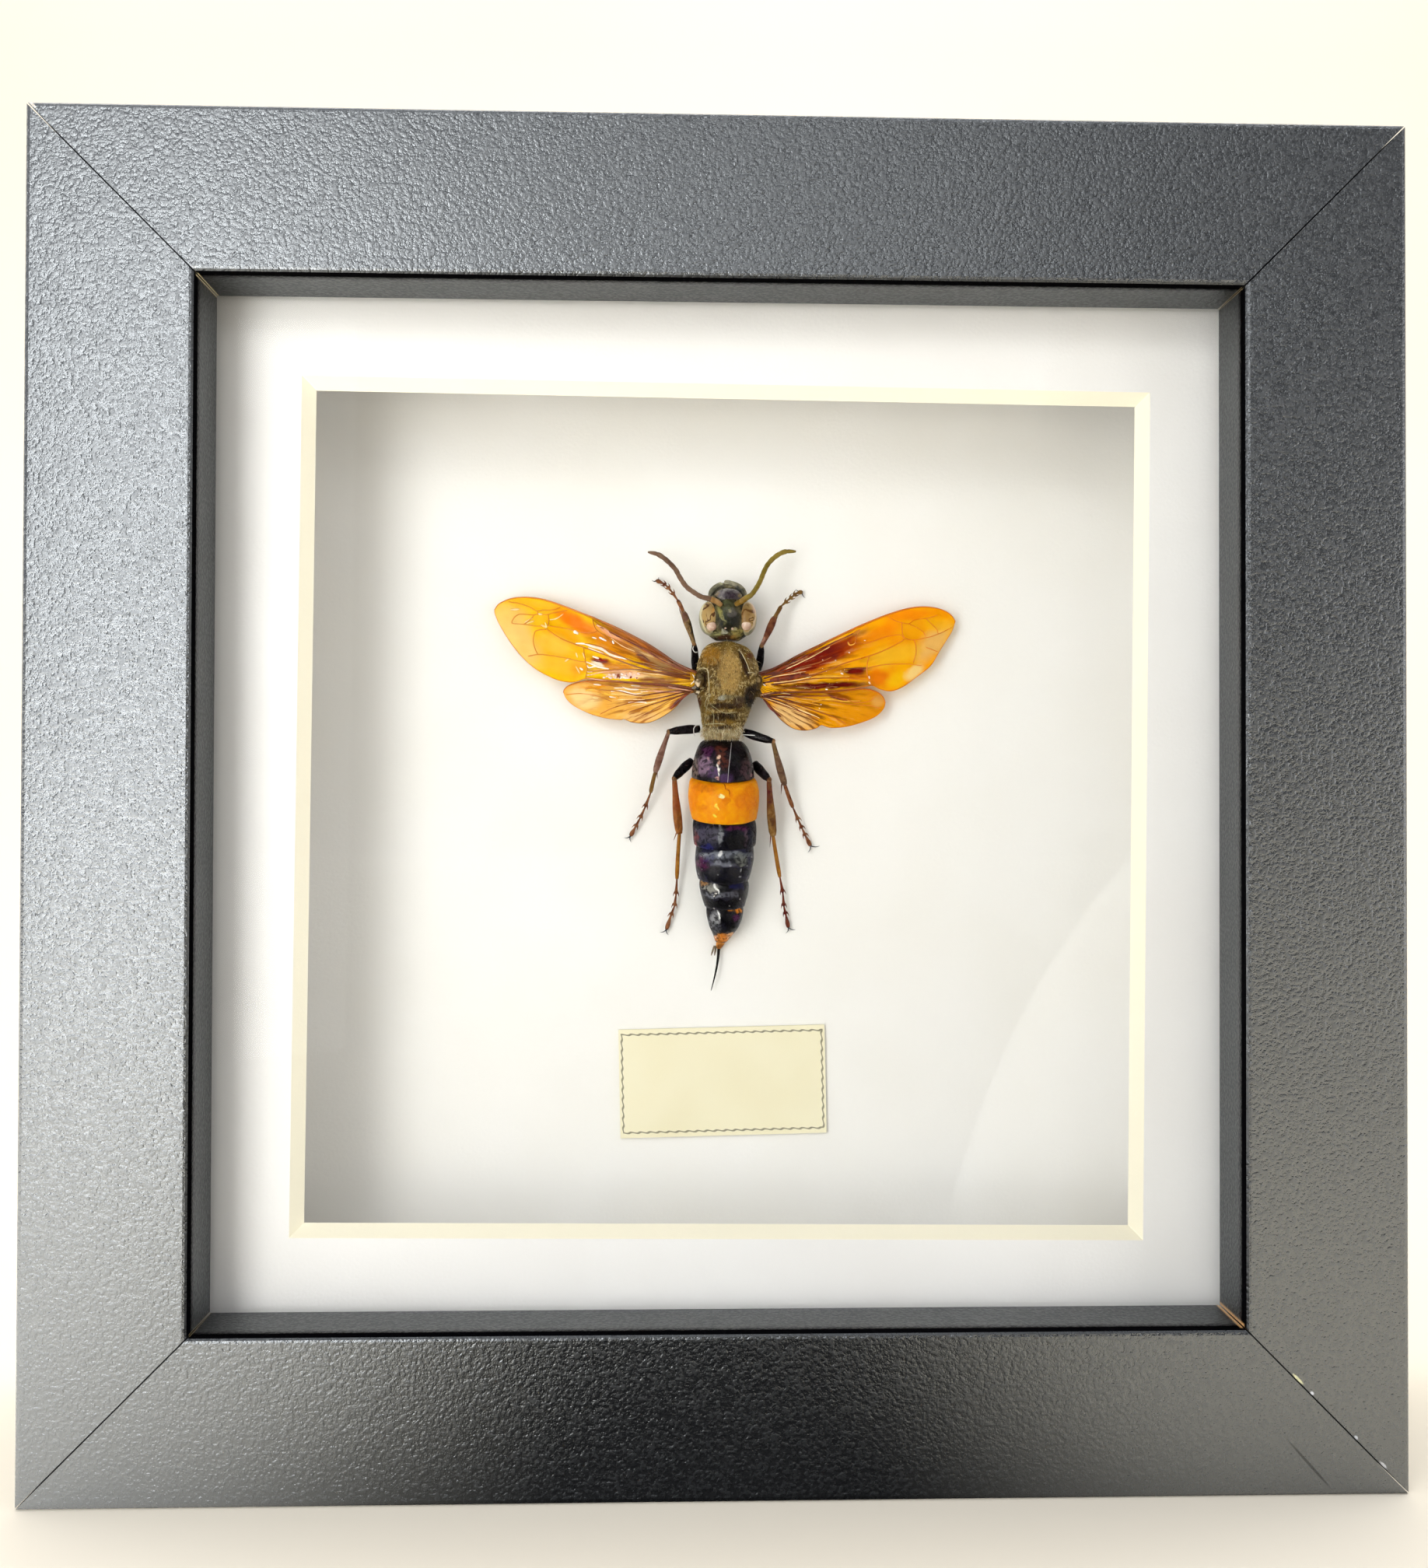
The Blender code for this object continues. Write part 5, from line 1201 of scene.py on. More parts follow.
def add_limb(bm, start, end, bow, shares, slot, sides=16, flat=0.85, count=13):
    """A straight or slightly bowed part of a leg. bow is a sideways push in its middle."""
    across = (end - start).cross(TOWARD_VIEWER).normalized() * bow * MM
    line = [start.lerp(end, t) + across * 4.0 * t * (1.0 - t) for t in (k / (count - 1) for k in range(count))]
    return add_tube(bm, line, taper(shares, count), sides, slot, flat)


def add_spine(bm, start, end, radius, slot, bend=0.0):
    """A thin pointed rod, for spurs, corner spines and claws."""
    across = (end - start).cross(TOWARD_VIEWER).normalized() * bend * MM
    line = [start.lerp(end, t) + across * 4.0 * t * (1.0 - t) for t in (0.0, 0.25, 0.5, 0.75, 1.0)]
    return add_tube(bm, line, [radius, radius * 0.85, radius * 0.65, radius * 0.42, radius * 0.12], 6, slot)


def add_foot_joint(bm, start, end, width, slot):
    """A small triangular foot joint with a spine at each outer corner."""
    ahead = (end - start).normalized()
    side = ahead.cross(TOWARD_VIEWER).normalized()
    add_limb(bm, start, end, 0.0, [(0.0, 0.1), (0.5, width * 0.62), (0.92, width), (1.0, width * 0.6)], slot, 12, 0.6,
        7)
    for hand in (-1.0, 1.0):
        corner = end - ahead * 0.35 * MM + side * hand * width * 0.7 * MM
        add_spine(bm, corner, corner + (ahead * 0.62 + side * hand * 0.2) * MM, 0.11, slot, 0.03 * hand)


def build_leg(name, node, joints, femur, tibia, finishes, claws, spurs=(), loops=()):
    """joints: hip, knee, ankle and the ends of the five foot joints, in millimetres."""
    hip, knee, ankle, *foot = [in_box(*p) for p in joints]
    bm = bmesh.new()
    add_limb(bm, hip, knee, 0.06, [(0.0, femur * 0.8), (0.3, femur), (0.75, femur * 0.86), (1.0, femur * 0.56)], 0)
    add_ball(bm, knee, (femur * 0.56, femur * 0.42, femur * 0.58), 1, 8)
    wide = tibia * 1.12
    add_limb(bm, knee, ankle, 0.05,
        [(0.0, tibia * 0.55), (0.12, tibia * 0.68), (0.7, wide), (0.95, tibia), (1.0, tibia * 0.74)], 2, flat=0.75)
    add_limb(bm, ankle.lerp(foot[0], -0.02), foot[0], 0.03, [(0.0, 0.2), (0.15, 0.24), (0.9, 0.27), (1.0, 0.2)], 3,
        12, 0.8, 9)
    for start, end in zip(foot[:3], foot[1:4]):
        add_foot_joint(bm, start, end, 0.24, 4)
    add_limb(bm, foot[3], foot[4], 0.0, [(0.0, 0.12), (0.75, 0.29), (1.0, 0.2)], 4, 12, 0.7, 8)
    add_ball(bm, foot[4], (0.12, 0.1, 0.12), 0, 6)
    for number, tip in enumerate(claws):
        add_spine(bm, foot[4], in_box(*tip, 0.35), 0.1, 5, 0.14 if number else -0.14)
    for start, end in spurs:
        add_spine(bm, in_box(*start), in_box(*end), 0.1, 4)
    for points in loops:
        add_tube(bm, [in_box(*p) for p in smooth_line(points, 4)], 0.06, 6, 6)
    return new_piece(name, bm, finishes, node)


FEMUR = make_horn("femur_black", (8, 4, 7), (32, 19, 25), fleck=(84, 64, 62), mix=900.0, gloss=0.3, coat=0.16)
KNEE = make_horn("knee_tan", (104, 70, 44), (176, 136, 96), mix=1500.0, gloss=0.4)
CLAW = make_horn("claw_grey", (58, 58, 64), (108, 108, 114), gloss=0.3)
THREAD = make_horn("white_thread", (224, 222, 216), (240, 238, 232), gloss=0.6, coat=0.0)
TIBIAE = {
    "fl": make_horn("tibia_fore_left", (104, 80, 52), (164, 134, 92),
        [(-3.15, 21.5, 0.16, 1.8, 10, (20, 10, 14), 0.8), (-4.1, 23.3, 0.5, 0.7, 0, (110, 66, 74), 0.6)], mix=1100.0),
    "fr": make_horn("tibia_fore_right", (84, 44, 28), (138, 88, 60), [(5.6, 20.2, 0.4, 0.8, 0, (196, 150, 130), 0.6)],
        mix=1100.0),
    "ml": make_horn("tibia_mid_left", (110, 76, 64), (156, 122, 108), mix=1100.0),
    "mr": make_horn("tibia_mid_right", (96, 68, 56), (140, 112, 88), [(7.2, 6.9, 0.5, 1.3, 0, (126, 104, 58), 0.6)],
        mix=1100.0),
    "hl": make_horn("tibia_hind_left", (134, 78, 40), (182, 120, 66),
        [(-5.1, 0.6, 0.5, 1.8, 0, (138, 62, 44), 0.6), (-4.9, -2.0, 0.25, 1.3, 0, (96, 60, 24), 0.6)], mix=1000.0),
    "hr": make_horn("tibia_hind_right", (114, 74, 36), (164, 126, 74),
        [(6.5, 1.2, 0.6, 1.9, 0, (92, 24, 38), 0.8), (6.9, -2.3, 0.3, 0.5, 0, (70, 34, 20), 0.7)], mix=1000.0),
}
OLIVE_FOOT = make_horn("foot_olive", (104, 70, 40), (152, 116, 64), mix=900.0)
BROWN_FOOT = make_horn("foot_brown", (104, 58, 36), (160, 108, 72), mix=1300.0)
GOLD_FOOT = make_horn("foot_gold", (150, 96, 34), (188, 130, 58), mix=1100.0)
RED_FOOT = make_horn("foot_red", (90, 30, 34), (136, 72, 50), mix=1300.0)
print("leg finishes:", len(TIBIAE) + 8)


# %% The six legs
LEGS = [build_leg("fore_leg_left", "leg_fore_left",
        [(-2.85, 16.9, 1.7), (-3, 19.75, 4.2), (-4.35, 23.95, 2.9), (-5.05, 25.55, 2), (-5.8, 26.7, 1.5),
            (-6.4, 27.45, 1.1), (-6.9, 27.85, 0.9), (-7.75, 28.3, 0.55)], 0.5, 0.42,
        [FEMUR, KNEE, TIBIAE["fl"], BROWN_FOOT, BROWN_FOOT, CLAW, THREAD], [(-8.34, 28.35), (-7.52, 28.76)],
        [((-4.6, 23.7, 2.8), (-4.9, 24.5, 2.6))],
        [[(-3.1, 19.5, 4.4), (-3.15, 19.1, 4.5), (-2.9, 18.75, 4.5), (-2.6, 18.8, 4.2)]]),
    build_leg("fore_leg_right", "leg_fore_right",
        [(5.15, 16.9, 1.7), (5.4, 19.6, 4.2), (7.1, 23.35, 2.9), (8, 24.9, 2), (8.85, 25.7, 1.5), (9.5, 26.25, 1.1),
            (10, 26.7, 0.9), (10.8, 27, 0.55)], 0.5, 0.42,
        [FEMUR, KNEE, TIBIAE["fr"], OLIVE_FOOT, OLIVE_FOOT, CLAW, THREAD], [(9.99, 27.37), (11.24, 26.22)],
        [((7.3, 23.1, 2.8), (7.6, 23.6, 2.6))]),
    build_leg("mid_leg_left", "leg_mid_left",
        [(-2.3, 9.3, 2.9), (-6.1, 8.85, 4.3), (-7.8, 3.9, 2.3), (-8.4, 1.3, 1.4), (-9.1, -0.55, 1),
            (-9.75, -1.95, 0.8), (-10.35, -3.1, 0.65), (-10.95, -4.2, 0.5)], 0.58, 0.4,
        [FEMUR, KNEE, TIBIAE["ml"], OLIVE_FOOT, BROWN_FOOT, CLAW, THREAD], [(-11.78, -4.43), (-10.85, -5.01)],
        [((-7.6, 4.0, 2.3), (-7.55, 3.05, 2.1))],
        [[(-2.15, 9.75, 3.6), (-2.7, 9.7, 3.7), (-3.0, 9.3, 3.75), (-3.0, 8.8, 3.6), (-2.85, 8.4, 3.3)]]),
    build_leg("mid_leg_right", "leg_mid_right",
        [(3.3, 8.95, 2.9), (6.85, 7.75, 4.3), (8.5, 2.35, 2.3), (9.6, -0.5, 1.4), (10.35, -2.15, 1),
            (10.85, -3.2, 0.8), (11.3, -4.15, 0.65), (11.95, -5.4, 0.5)], 0.58, 0.42,
        [FEMUR, KNEE, TIBIAE["mr"], BROWN_FOOT, BROWN_FOOT, CLAW, THREAD], [(11.63, -6.26), (13.15, -5.43)],
        [((8.1, 2.4, 2.3), (8.05, 1.1, 2.1))],
        [[(2.7, 9.2, 3.6), (2.95, 8.8, 3.7), (2.85, 8.3, 3.7), (2.7, 7.7, 3.5)],
            [(3.1, 8.55, 3.7), (3.9, 8.5, 4.1), (4.6, 8.45, 4.3)]]),
    build_leg("hind_leg_left", "leg_hind_left",
        [(-3.25, 5.3, 1.6), (-5.4, 3.05, 3.9), (-4.75, -3.85, 2.3), (-5.05, -9.6, 1.2), (-5.15, -11.6, 0.9),
            (-5.35, -13.1, 0.75), (-5.8, -14.3, 0.65), (-6.35, -16.05, 0.5)], 0.62, 0.5,
        [FEMUR, KNEE, TIBIAE["hl"], GOLD_FOOT, BROWN_FOOT, CLAW, THREAD], [(-7.19, -16.44), (-6.07, -16.79)],
        [((-5.1, -3.7, 2.3), (-5.5, -4.8, 2.1))]),
    build_leg("hind_leg_right", "leg_hind_right",
        [(4.75, 5, 1.6), (6.4, 2.95, 3.9), (7.05, -4.1, 2.3), (8, -9.35, 1.2), (8.4, -11.35, 0.9),
            (8.55, -13.1, 0.75), (8.8, -14.15, 0.65), (9.15, -15.8, 0.5)], 0.62, 0.5,
        [FEMUR, KNEE, TIBIAE["hr"], GOLD_FOOT, RED_FOOT, CLAW, THREAD], [(8.84, -16.56), (10.08, -16.09)],
        [((6.75, -4.0, 2.3), (6.65, -5.6, 2.1))])]
print("leg faces:", [len(leg.data.polygons) for leg in LEGS])

# %% [markdown]
# ## The head
# Seen from above the head is a round shell between two tan eyes. In front, the mouth
# shield bulges out and the jaws close round it. Two pale glassy lumps and three tiny
# simple eyes sit toward the neck. The eyes are horn too, with marbled swirls under a
# clear surface, so they get a recipe of their own.


# %% Head finishes
def make_eye_finish():
    finish, tree, shader, place = new_finish("tan_eye")
    pushed = stirred(tree, place, 420.0, 0.6)
    ragged = stirred(tree, place, 900.0, 0.12)
    swirl = maths(tree, "SINE", maths(tree, "MULTIPLY", grain(tree, pushed, 620.0, 1.5), 30.0))
    marble = blend_colours(tree, fade(tree, swirl, 0.0, 1.0), shown((188, 156, 100)), shown((96, 62, 28)))
    base = blend_colours(tree, clouds(tree, place, 700.0, 3.0, 0.7), shown((140, 138, 108)), shown((178, 170, 134)))
    # the pale ring round each eye is a painted highlight, with the marble inside it
    highlight_rims = [(-1.3, 23.1, 0.98, 1.95, 4, shown((232, 222, 178)), 0.9),
        (3.66, 23.1, 1.0, 1.95, -4, shown((240, 214, 178)), 0.9), (-1.2, 23.05, 0.86, 1.83, 4, marble, 1.0),
        (3.56, 23.05, 0.88, 1.83, -4, marble, 1.0)]
    base = patches(tree, ragged, base, highlight_rims, soft=0.06)
    spots = [(-0.3, 24.0, 0.7, 0.35, 20, (224, 160, 84), 0.8), (-0.2, 24.3, 0.4, 0.25, 0, (120, 70, 40), 0.7),
        (-1.2, 21.4, 0.9, 0.35, 0, (196, 190, 160), 0.6), (3.1, 23.0, 0.6, 1.2, 0, (120, 82, 44), 0.6),
        (4.4, 24.2, 0.5, 0.6, -30, (226, 186, 160), 0.6)]
    base = patches(tree, pushed, base, recolour(spots, shown))
    connect(tree, shader, {"Base Color": base, "Roughness": 0.3, "Specular IOR Level": 0.1, "Coat Weight": 0.25,
            "Coat Roughness": 0.14})
    bump(tree, shader, clouds(tree, place, 2200.0, 2.0, 0.4), 0.03, 0.3)
    return finish


SHELL = make_horn("head_shell", (44, 38, 24), (122, 112, 78),
    [(1.15, 22.9, 1.3, 1.3, 0, (34, 46, 38), 0.9), (1.15, 24.2, 0.7, 1.0, 0, (86, 90, 62), 0.8),
        (0.4, 23.0, 0.25, 1.3, 16, (176, 170, 96), 0.7), (0.5, 21.9, 0.7, 0.5, 0, (14, 22, 22), 0.85),
        (2.0, 22.3, 0.6, 0.9, -20, (20, 24, 20), 0.8), (1.6, 23.4, 0.5, 0.6, 0, (120, 112, 110), 0.5),
        (-0.6, 21.05, 1.3, 0.3, -6, (178, 176, 120), 0.8), (2.4, 21.0, 0.7, 0.5, -30, (180, 164, 96), 0.8),
        (0.75, 21.2, 0.35, 0.2, 0, (226, 224, 200), 0.8), (3.5, 20.75, 0.9, 0.5, 0, (16, 10, 14), 0.9),
        (0.3, 20.6, 1.6, 0.35, -4, (66, 22, 18), 0.85), (1.9, 20.6, 0.5, 0.3, 0, (150, 112, 60), 0.7),
        (1.2, 21.5, 0.6, 0.35, 0, (26, 12, 10), 0.8), (-0.6, 26.4, 1.0, 0.3, 40, (24, 32, 28), 0.85),
        (2.7, 26.3, 1.0, 0.3, -38, (28, 36, 40), 0.85)], mix=1100.0, fleck=(170, 164, 130), gloss=0.32, coat=0.2,
    wrinkle=0.8)
DOME = make_horn("mouth_shield", (90, 82, 88), (152, 146, 146),
    [(1.5, 25.6, 1.0, 0.6, 0, (52, 34, 50), 0.85), (0.2, 25.1, 0.6, 0.3, 0, (160, 156, 150), 0.6),
        (-0.5, 25.6, 0.4, 0.7, -30, (150, 126, 84), 0.8), (2.9, 25.5, 0.4, 0.7, 30, (146, 124, 78), 0.8),
        (1.1, 26.6, 1.3, 0.2, 0, (176, 170, 168), 0.7), (1.2, 24.9, 0.25, 0.25, 0, (14, 12, 14), 0.9)], mix=1500.0,
    fleck=(176, 168, 176), gloss=0.3, coat=0.3, wrinkle=0.7)
JAW = make_horn("jaw_olive", (116, 112, 92), (180, 172, 148),
    [(0.6, 27.3, 0.6, 0.25, 0, (196, 194, 158), 0.8), (-0.6, 26.5, 0.7, 0.2, 40, (30, 38, 34), 0.85),
        (2.7, 26.5, 0.9, 0.22, -38, (34, 42, 46), 0.85)], mix=900.0, gloss=0.35, coat=0.16)
PEARL = make_horn("pale_lump", (200, 160, 136), (244, 218, 196), mix=1300.0, gloss=0.22, coat=0.8, wrinkle=0.2)
EYE = make_eye_finish()
print("head finishes ready")


# %% Build the head
def build_head():
    stations = [(27.6, 1.15, 0.6, 0.4, 3.3), (27.2, 1.15, 1.35, 1.0, 3.35), (26.6, 1.12, 1.85, 1.6, 3.5),
        (25.9, 1.1, 2.3, 2.05, 3.65), (25.0, 1.12, 2.55, 2.35, 3.8), (23.9, 1.18, 2.8, 2.5, 3.85),
        (22.7, 1.2, 2.9, 2.5, 3.85), (21.7, 1.2, 2.8, 2.3, 3.75), (20.95, 1.2, 2.4, 1.85, 3.6),
        (20.35, 1.2, 1.5, 1.2, 3.5)]
    bm = bmesh.new()
    add_loft(bm, shell_rings(stations), 56)
    for dent in ((1.15, 24.35, 0.5, 0.5, -0.35), (1.15, 22.6, 1.1, 1.2, -0.2), (0.1, 24.6, 0.55, 0.4, 0.35),
            (2.25, 24.6, 0.55, 0.4, 0.35), (1.2, 20.9, 1.8, 0.25, 0.2)):
        press(bm, *dent)
    ruffle(bm, 1100.0, 0.1)
    for across in (-1.05, 3.45):
        add_ball(bm, in_box(across, 23.05, 4.05), (1.38, 2.2, 2.15), 4, 24)
    add_ball(bm, in_box(1.18, 25.55, 4.5), (1.85, 1.7, 1.15), 1, 20)
    for line in ([(-0.95, 25.3, 4.2), (-0.75, 26.2, 4.1), (-0.1, 26.95, 4.0), (0.62, 27.3, 3.9)],
            [(3.35, 25.3, 4.2), (3.1, 26.2, 4.1), (2.4, 26.95, 4.0), (1.2, 27.45, 3.8), (0.78, 27.4, 3.7)]):
        points = [in_box(*p) for p in smooth_line(line, 5)]
        add_tube(bm, points, taper([(0.0, 0.3), (0.4, 0.52), (0.85, 0.42), (1.0, 0.16)], len(points)), 14, 2)
    for across, up, height, size in ((-0.88, 21.85, 5.75, 0.62), (3.42, 21.95, 5.75, 0.6), (1.24, 22.07, 6.2, 0.19),
            (0.83, 21.6, 6.0, 0.15), (1.7, 21.52, 6.0, 0.15), (2.25, 24.4, 6.2, 0.17), (-1.68, 22.2, 5.5, 0.16)):
        add_ball(bm, in_box(across, up, height), (size, size * 0.8, size), 3, 14)
    return new_piece("hornet_head", bm, [SHELL, DOME, JAW, PEARL, EYE], "head")


HEAD = build_head()
print("head faces:", len(HEAD.data.polygons))

# %% [markdown]
# A feeler has a long first joint, a short elbow and then ten nearly equal joints. The
# joints show as slight waists, so the radius dips at every joint along the tube.


# %% The feelers
def build_antenna(name, node, points, finish, base):
    line = smooth_line(points, 8)
    steps = [0.0]
    for a, b in zip(line, line[1:]):
        steps.append(steps[-1] + (b - a).length)
    first = 2.6
    radii, slots = [], []
    for far in steps:
        if far < first:
            radii.append(0.3 + 0.05 * math.sin(far / first * math.pi))
        else:
            phase = (far - first) / (steps[-1] - first) * 10.0 % 1.0
            end = min(1.0, (steps[-1] - far) / 1.2)
            radii.append((0.255 + 0.06 * min(1.0, 5.0 * phase, 5.0 * (1.0 - phase))) * (0.55 + 0.45 * end))
        slots.append(1 if far < first * 0.55 else 0)
    bm = bmesh.new()
    add_tube(bm, [in_box(*p) for p in line], radii, 14, slots[:-1])
    add_ball(bm, in_box(*line[-1]), (0.15, 0.14, 0.15), 0, 6)
    return new_piece(name, bm, [finish, base], node)


PURPLE_BROWN = make_horn("feeler_purple_brown", (104, 78, 62), (140, 112, 92), mix=600.0, gloss=0.45, coat=0.1)
OLIVE_GOLD = make_horn("feeler_olive_gold", (128, 108, 44), (160, 138, 70), mix=600.0, gloss=0.45, coat=0.1)
TAN_BASE = make_horn("feeler_base_tan", (150, 112, 66), (204, 162, 110), mix=1200.0, gloss=0.35)
OLIVE_BASE = make_horn("feeler_base_olive", (128, 98, 44), (180, 146, 82), mix=1200.0, gloss=0.35)
FEELERS = [build_antenna("feeler_left", "antenna_left",
        [(0.25, 24.4, 6.3), (-0.35, 24.75, 6.8), (-1.2, 25.05, 6.9), (-2.15, 25.35, 6.5), (-3, 25.95, 5.8),
            (-4, 26.85, 4.9), (-4.8, 28.1, 4.2), (-5.4, 29.25, 3.6), (-6.5, 30.45, 3.1), (-7.55, 31.2, 2.8),
            (-8.7, 31.5, 2.6)], PURPLE_BROWN, TAN_BASE),
    build_antenna("feeler_right", "antenna_right",
        [(2.1, 24.5, 6.3), (2.7, 24.75, 6.8), (3.4, 25.2, 6.9), (4.0, 25.65, 6.5), (4.65, 26.6, 5.6),
            (5.2, 27.65, 4.9), (5.65, 28.8, 4.2), (6.2, 29.9, 3.6), (7.15, 30.95, 3.1), (8.35, 31.65, 2.8),
            (9.7, 31.75, 2.6)], OLIVE_GOLD, OLIVE_BASE)]
print("feeler faces:", [len(f.data.polygons) for f in FEELERS])

# %% [markdown]
# ## The hairy middle
# The thorax is a shell as well, but a short felt of hair hides it. The shell gets its
# plates and grooves first. Then hairs are planted: each is a thin three-sided spike that
# stands on a random spot of the side that shows, leans back, and takes its shade from
# noise at its foot.

# %% Thorax shell
FELT_SPOTS = [(-0.9, 18.2, 1.1, 1.2, 0, (176, 124, 34), 0.75), (1.3, 16.0, 1.3, 2.6, 0, (212, 174, 100), 0.8),
    (3.7, 17.6, 0.7, 1.1, -20, (122, 92, 30), 0.7), (3.9, 18.3, 0.4, 0.35, 0, (104, 48, 14), 0.8),
    (3.1, 17.2, 0.3, 1.8, 18, (44, 12, 8), 0.95), (-1.95, 15.2, 0.6, 1.35, 0, (24, 10, 6), 0.95),
    (3.85, 13.1, 0.75, 1.4, 0, (10, 5, 9), 0.97), (4.6, 14.2, 0.5, 0.6, 0, (36, 14, 10), 0.9),
    (0.9, 11.95, 2.2, 0.36, 0, (50, 26, 16), 0.85), (0.6, 10.6, 1.9, 0.5, 0, (44, 24, 14), 0.85),
    # the pale grey patch at (0.37, 12.85) on the next line is a painted highlight
    (2.5, 12.6, 0.7, 0.6, 0, (70, 46, 40), 0.7), (0.37, 12.85, 0.5, 0.3, 0, (206, 204, 186), 0.85),
    (1.0, 12.95, 0.9, 0.3, 0, (130, 126, 98), 0.5), (0.4, 8.6, 2.2, 0.6, 0, (224, 212, 168), 0.85),
    (0.6, 9.35, 1.3, 0.25, 0, (64, 38, 16), 0.85), (0.3, 8.5, 0.45, 0.22, 0, (170, 118, 46), 0.8),
    (-1.9, 12.2, 0.5, 1.2, 0, (128, 100, 42), 0.5), (-2.4, 12.5, 0.35, 0.7, 0, (84, 38, 12), 0.85)]


def build_thorax():
    stations = [(20.15, 1, 0.9, 0.7, 3.7), (19.8, 1, 2.1, 1.6, 3.7), (19.1, 1.05, 2.95, 2.4, 3.75),
        (17.9, 1.15, 3.5, 3.1, 3.85), (16.4, 1.25, 3.8, 3.55, 3.85), (14.9, 1.3, 3.9, 3.6, 3.85),
        (13.7, 1.2, 3.7, 3.55, 3.8), (12.5, 1.05, 3.3, 3.2, 3.6), (11.2, 0.85, 2.85, 2.7, 3.3),
        (9.9, 0.7, 2.5, 2.25, 3), (8.8, 0.6, 2.4, 1.9, 2.75), (8.15, 0.6, 2, 1.5, 2.6), (7.95, 0.6, 1.3, 1, 2.55)]
    bm = bmesh.new()
    add_loft(bm, shell_rings(stations), 72)
    for dent in ((0.9, 12.0, 2.2, 0.28, 0.4), (0.6, 12.8, 1.6, 0.6, -0.3), (0.6, 10.5, 2.0, 0.5, 0.35),
            (0.5, 9.3, 1.5, 0.5, -0.2), (-1.9, 14.9, 0.6, 1.4, 0.5), (3.1, 17.3, 0.3, 1.8, 0.25)):
        press(bm, *dent)
    ruffle(bm, 600.0, 0.16)
    for across, up, height, half in ((-2.2, 15.2, 4.9, (0.8, 0.9, 1.15)), (4.75, 15.1, 4.9, (0.75, 0.9, 1.1)),
            (-2.5, 13.9, 4.2, (0.5, 0.6, 0.5)), (5.0, 13.7, 4.2, (0.5, 0.6, 0.5))):
        add_ball(bm, in_box(across, up, height), half, 1, 14)
    surface = BVHTree.FromBMesh(bm)
    for line in ([(2.5, 19.0), (3.0, 18.2), (3.45, 17.2), (3.8, 16.2)],
            [(-2.4, 16.6), (-1.9, 16.65), (-1.35, 16.3), (-1.2, 14.8), (-1.15, 13.3)],
            [(3.6, 16.0), (4.2, 16.1), (4.7, 15.8)]):
        add_tube(bm, [lay_on(surface, *p, 0.1) for p in smooth_line(line, 5)], 0.06, 8, 2)
    for line in ([(-1.1, 13.3), (-1.45, 11.6), (-1.7, 9.9)],
            [(-1.25, 13.4), (-1.6, 12.0), (-0.6, 11.0), (-0.65, 9.5)], [(-1.7, 9.75), (-0.6, 9.85), (0.8, 9.8)],
            [(-1.05, 12.2), (0.6, 11.15), (2.3, 11.25)]):
        add_tube(bm, [lay_on(surface, *p, 0.22) for p in smooth_line(line, 5)], 0.04, 6, 3)
    skin = make_horn("thorax_skin", (70, 46, 12), (160, 128, 60), FELT_SPOTS, mix=900.0, fleck=(176, 164, 110),
        gloss=0.5, coat=0.1, wrinkle=0.9)
    plate = make_horn("wing_root_plate", (34, 16, 10), (118, 92, 54),
        # the two near-white patches on the left plate are painted highlights
        [(-2.5, 14.9, 0.35, 0.2, 0, (236, 214, 180), 0.9), (-2.45, 13.7, 0.3, 0.2, 0, (244, 226, 196), 0.9),
            (-2.2, 15.6, 0.4, 0.4, 0, (120, 104, 70), 0.8), (-2.4, 14.3, 0.3, 0.3, 0, (16, 6, 4), 0.9),
            (4.9, 15.2, 0.3, 0.3, 0, (176, 150, 104), 0.8), (4.4, 15.6, 0.4, 0.5, 0, (96, 84, 44), 0.8)], mix=900.0,
        fleck=(206, 186, 150), gloss=0.35)
    edge = make_horn("pale_edge", (196, 182, 140), (236, 226, 190), mix=1200.0, gloss=0.4)
    thread = make_horn("stray_thread", (176, 166, 120), (214, 206, 168), gloss=0.5, coat=0.0)
    return new_piece("hornet_thorax", bm, [skin, plate, edge, thread], "thorax")


THORAX = build_thorax()
print("thorax faces:", len(THORAX.data.polygons))

# %% [markdown]
# Planting thousands of spikes in one growing mesh would be slow, because every operator
# looks at the whole mesh. So the spikes are made in batches of two hundred, and the
# batches are poured together at the end.


# %% Plant hairs
def plant_hairs(source, count, length, radius, lean, seed, thickness_of=None):
    """Returns a bmesh of spikes on the faces of source that face the viewer.
    thickness_of gives the share of hairs at a spot, by millimetres across and up."""
    chance = random.Random(seed)
    mesh = source.data
    faces = [f for f in mesh.polygons if f.normal.y < 0.35 and f.material_index == 0]
    weights = [f.area for f in faces]
    if thickness_of:
        weights = [w * thickness_of(f.center.x / MM, (f.center.z - MIDDLE_Z) / MM) for w, f in zip(weights, faces)]
    whole, batch = bmesh.new(), bmesh.new()
    for number, face in enumerate(chance.choices(faces, weights, k=count)):
        corners = [mesh.vertices[k].co for k in face.vertices[:4]]
        s, t = chance.random(), chance.random()
        foot = corners[0].lerp(corners[1], s).lerp(corners[-1].lerp(corners[-2], s), t)
        tall = length * MM * (0.55 + 0.9 * chance.random())
        aim = (face.normal + lean + Vector([chance.uniform(-0.5, 0.5) for _ in range(3)])).normalized()
        turn = aim.to_track_quat("Z", "X").to_matrix().to_4x4()
        turn.translation = foot + aim * tall * 0.45
        bmesh.ops.create_cone(batch, cap_ends=True, segments=3, radius1=radius * MM, radius2=radius * 0.25 * MM,
            depth=tall, matrix=turn)
        if number % 200 == 199 or number == count - 1:
            store = bpy.data.meshes.new("batch")
            batch.to_mesh(store)
            whole.from_mesh(store)
            bpy.data.meshes.remove(store)
            batch.clear()
    batch.free()
    return whole


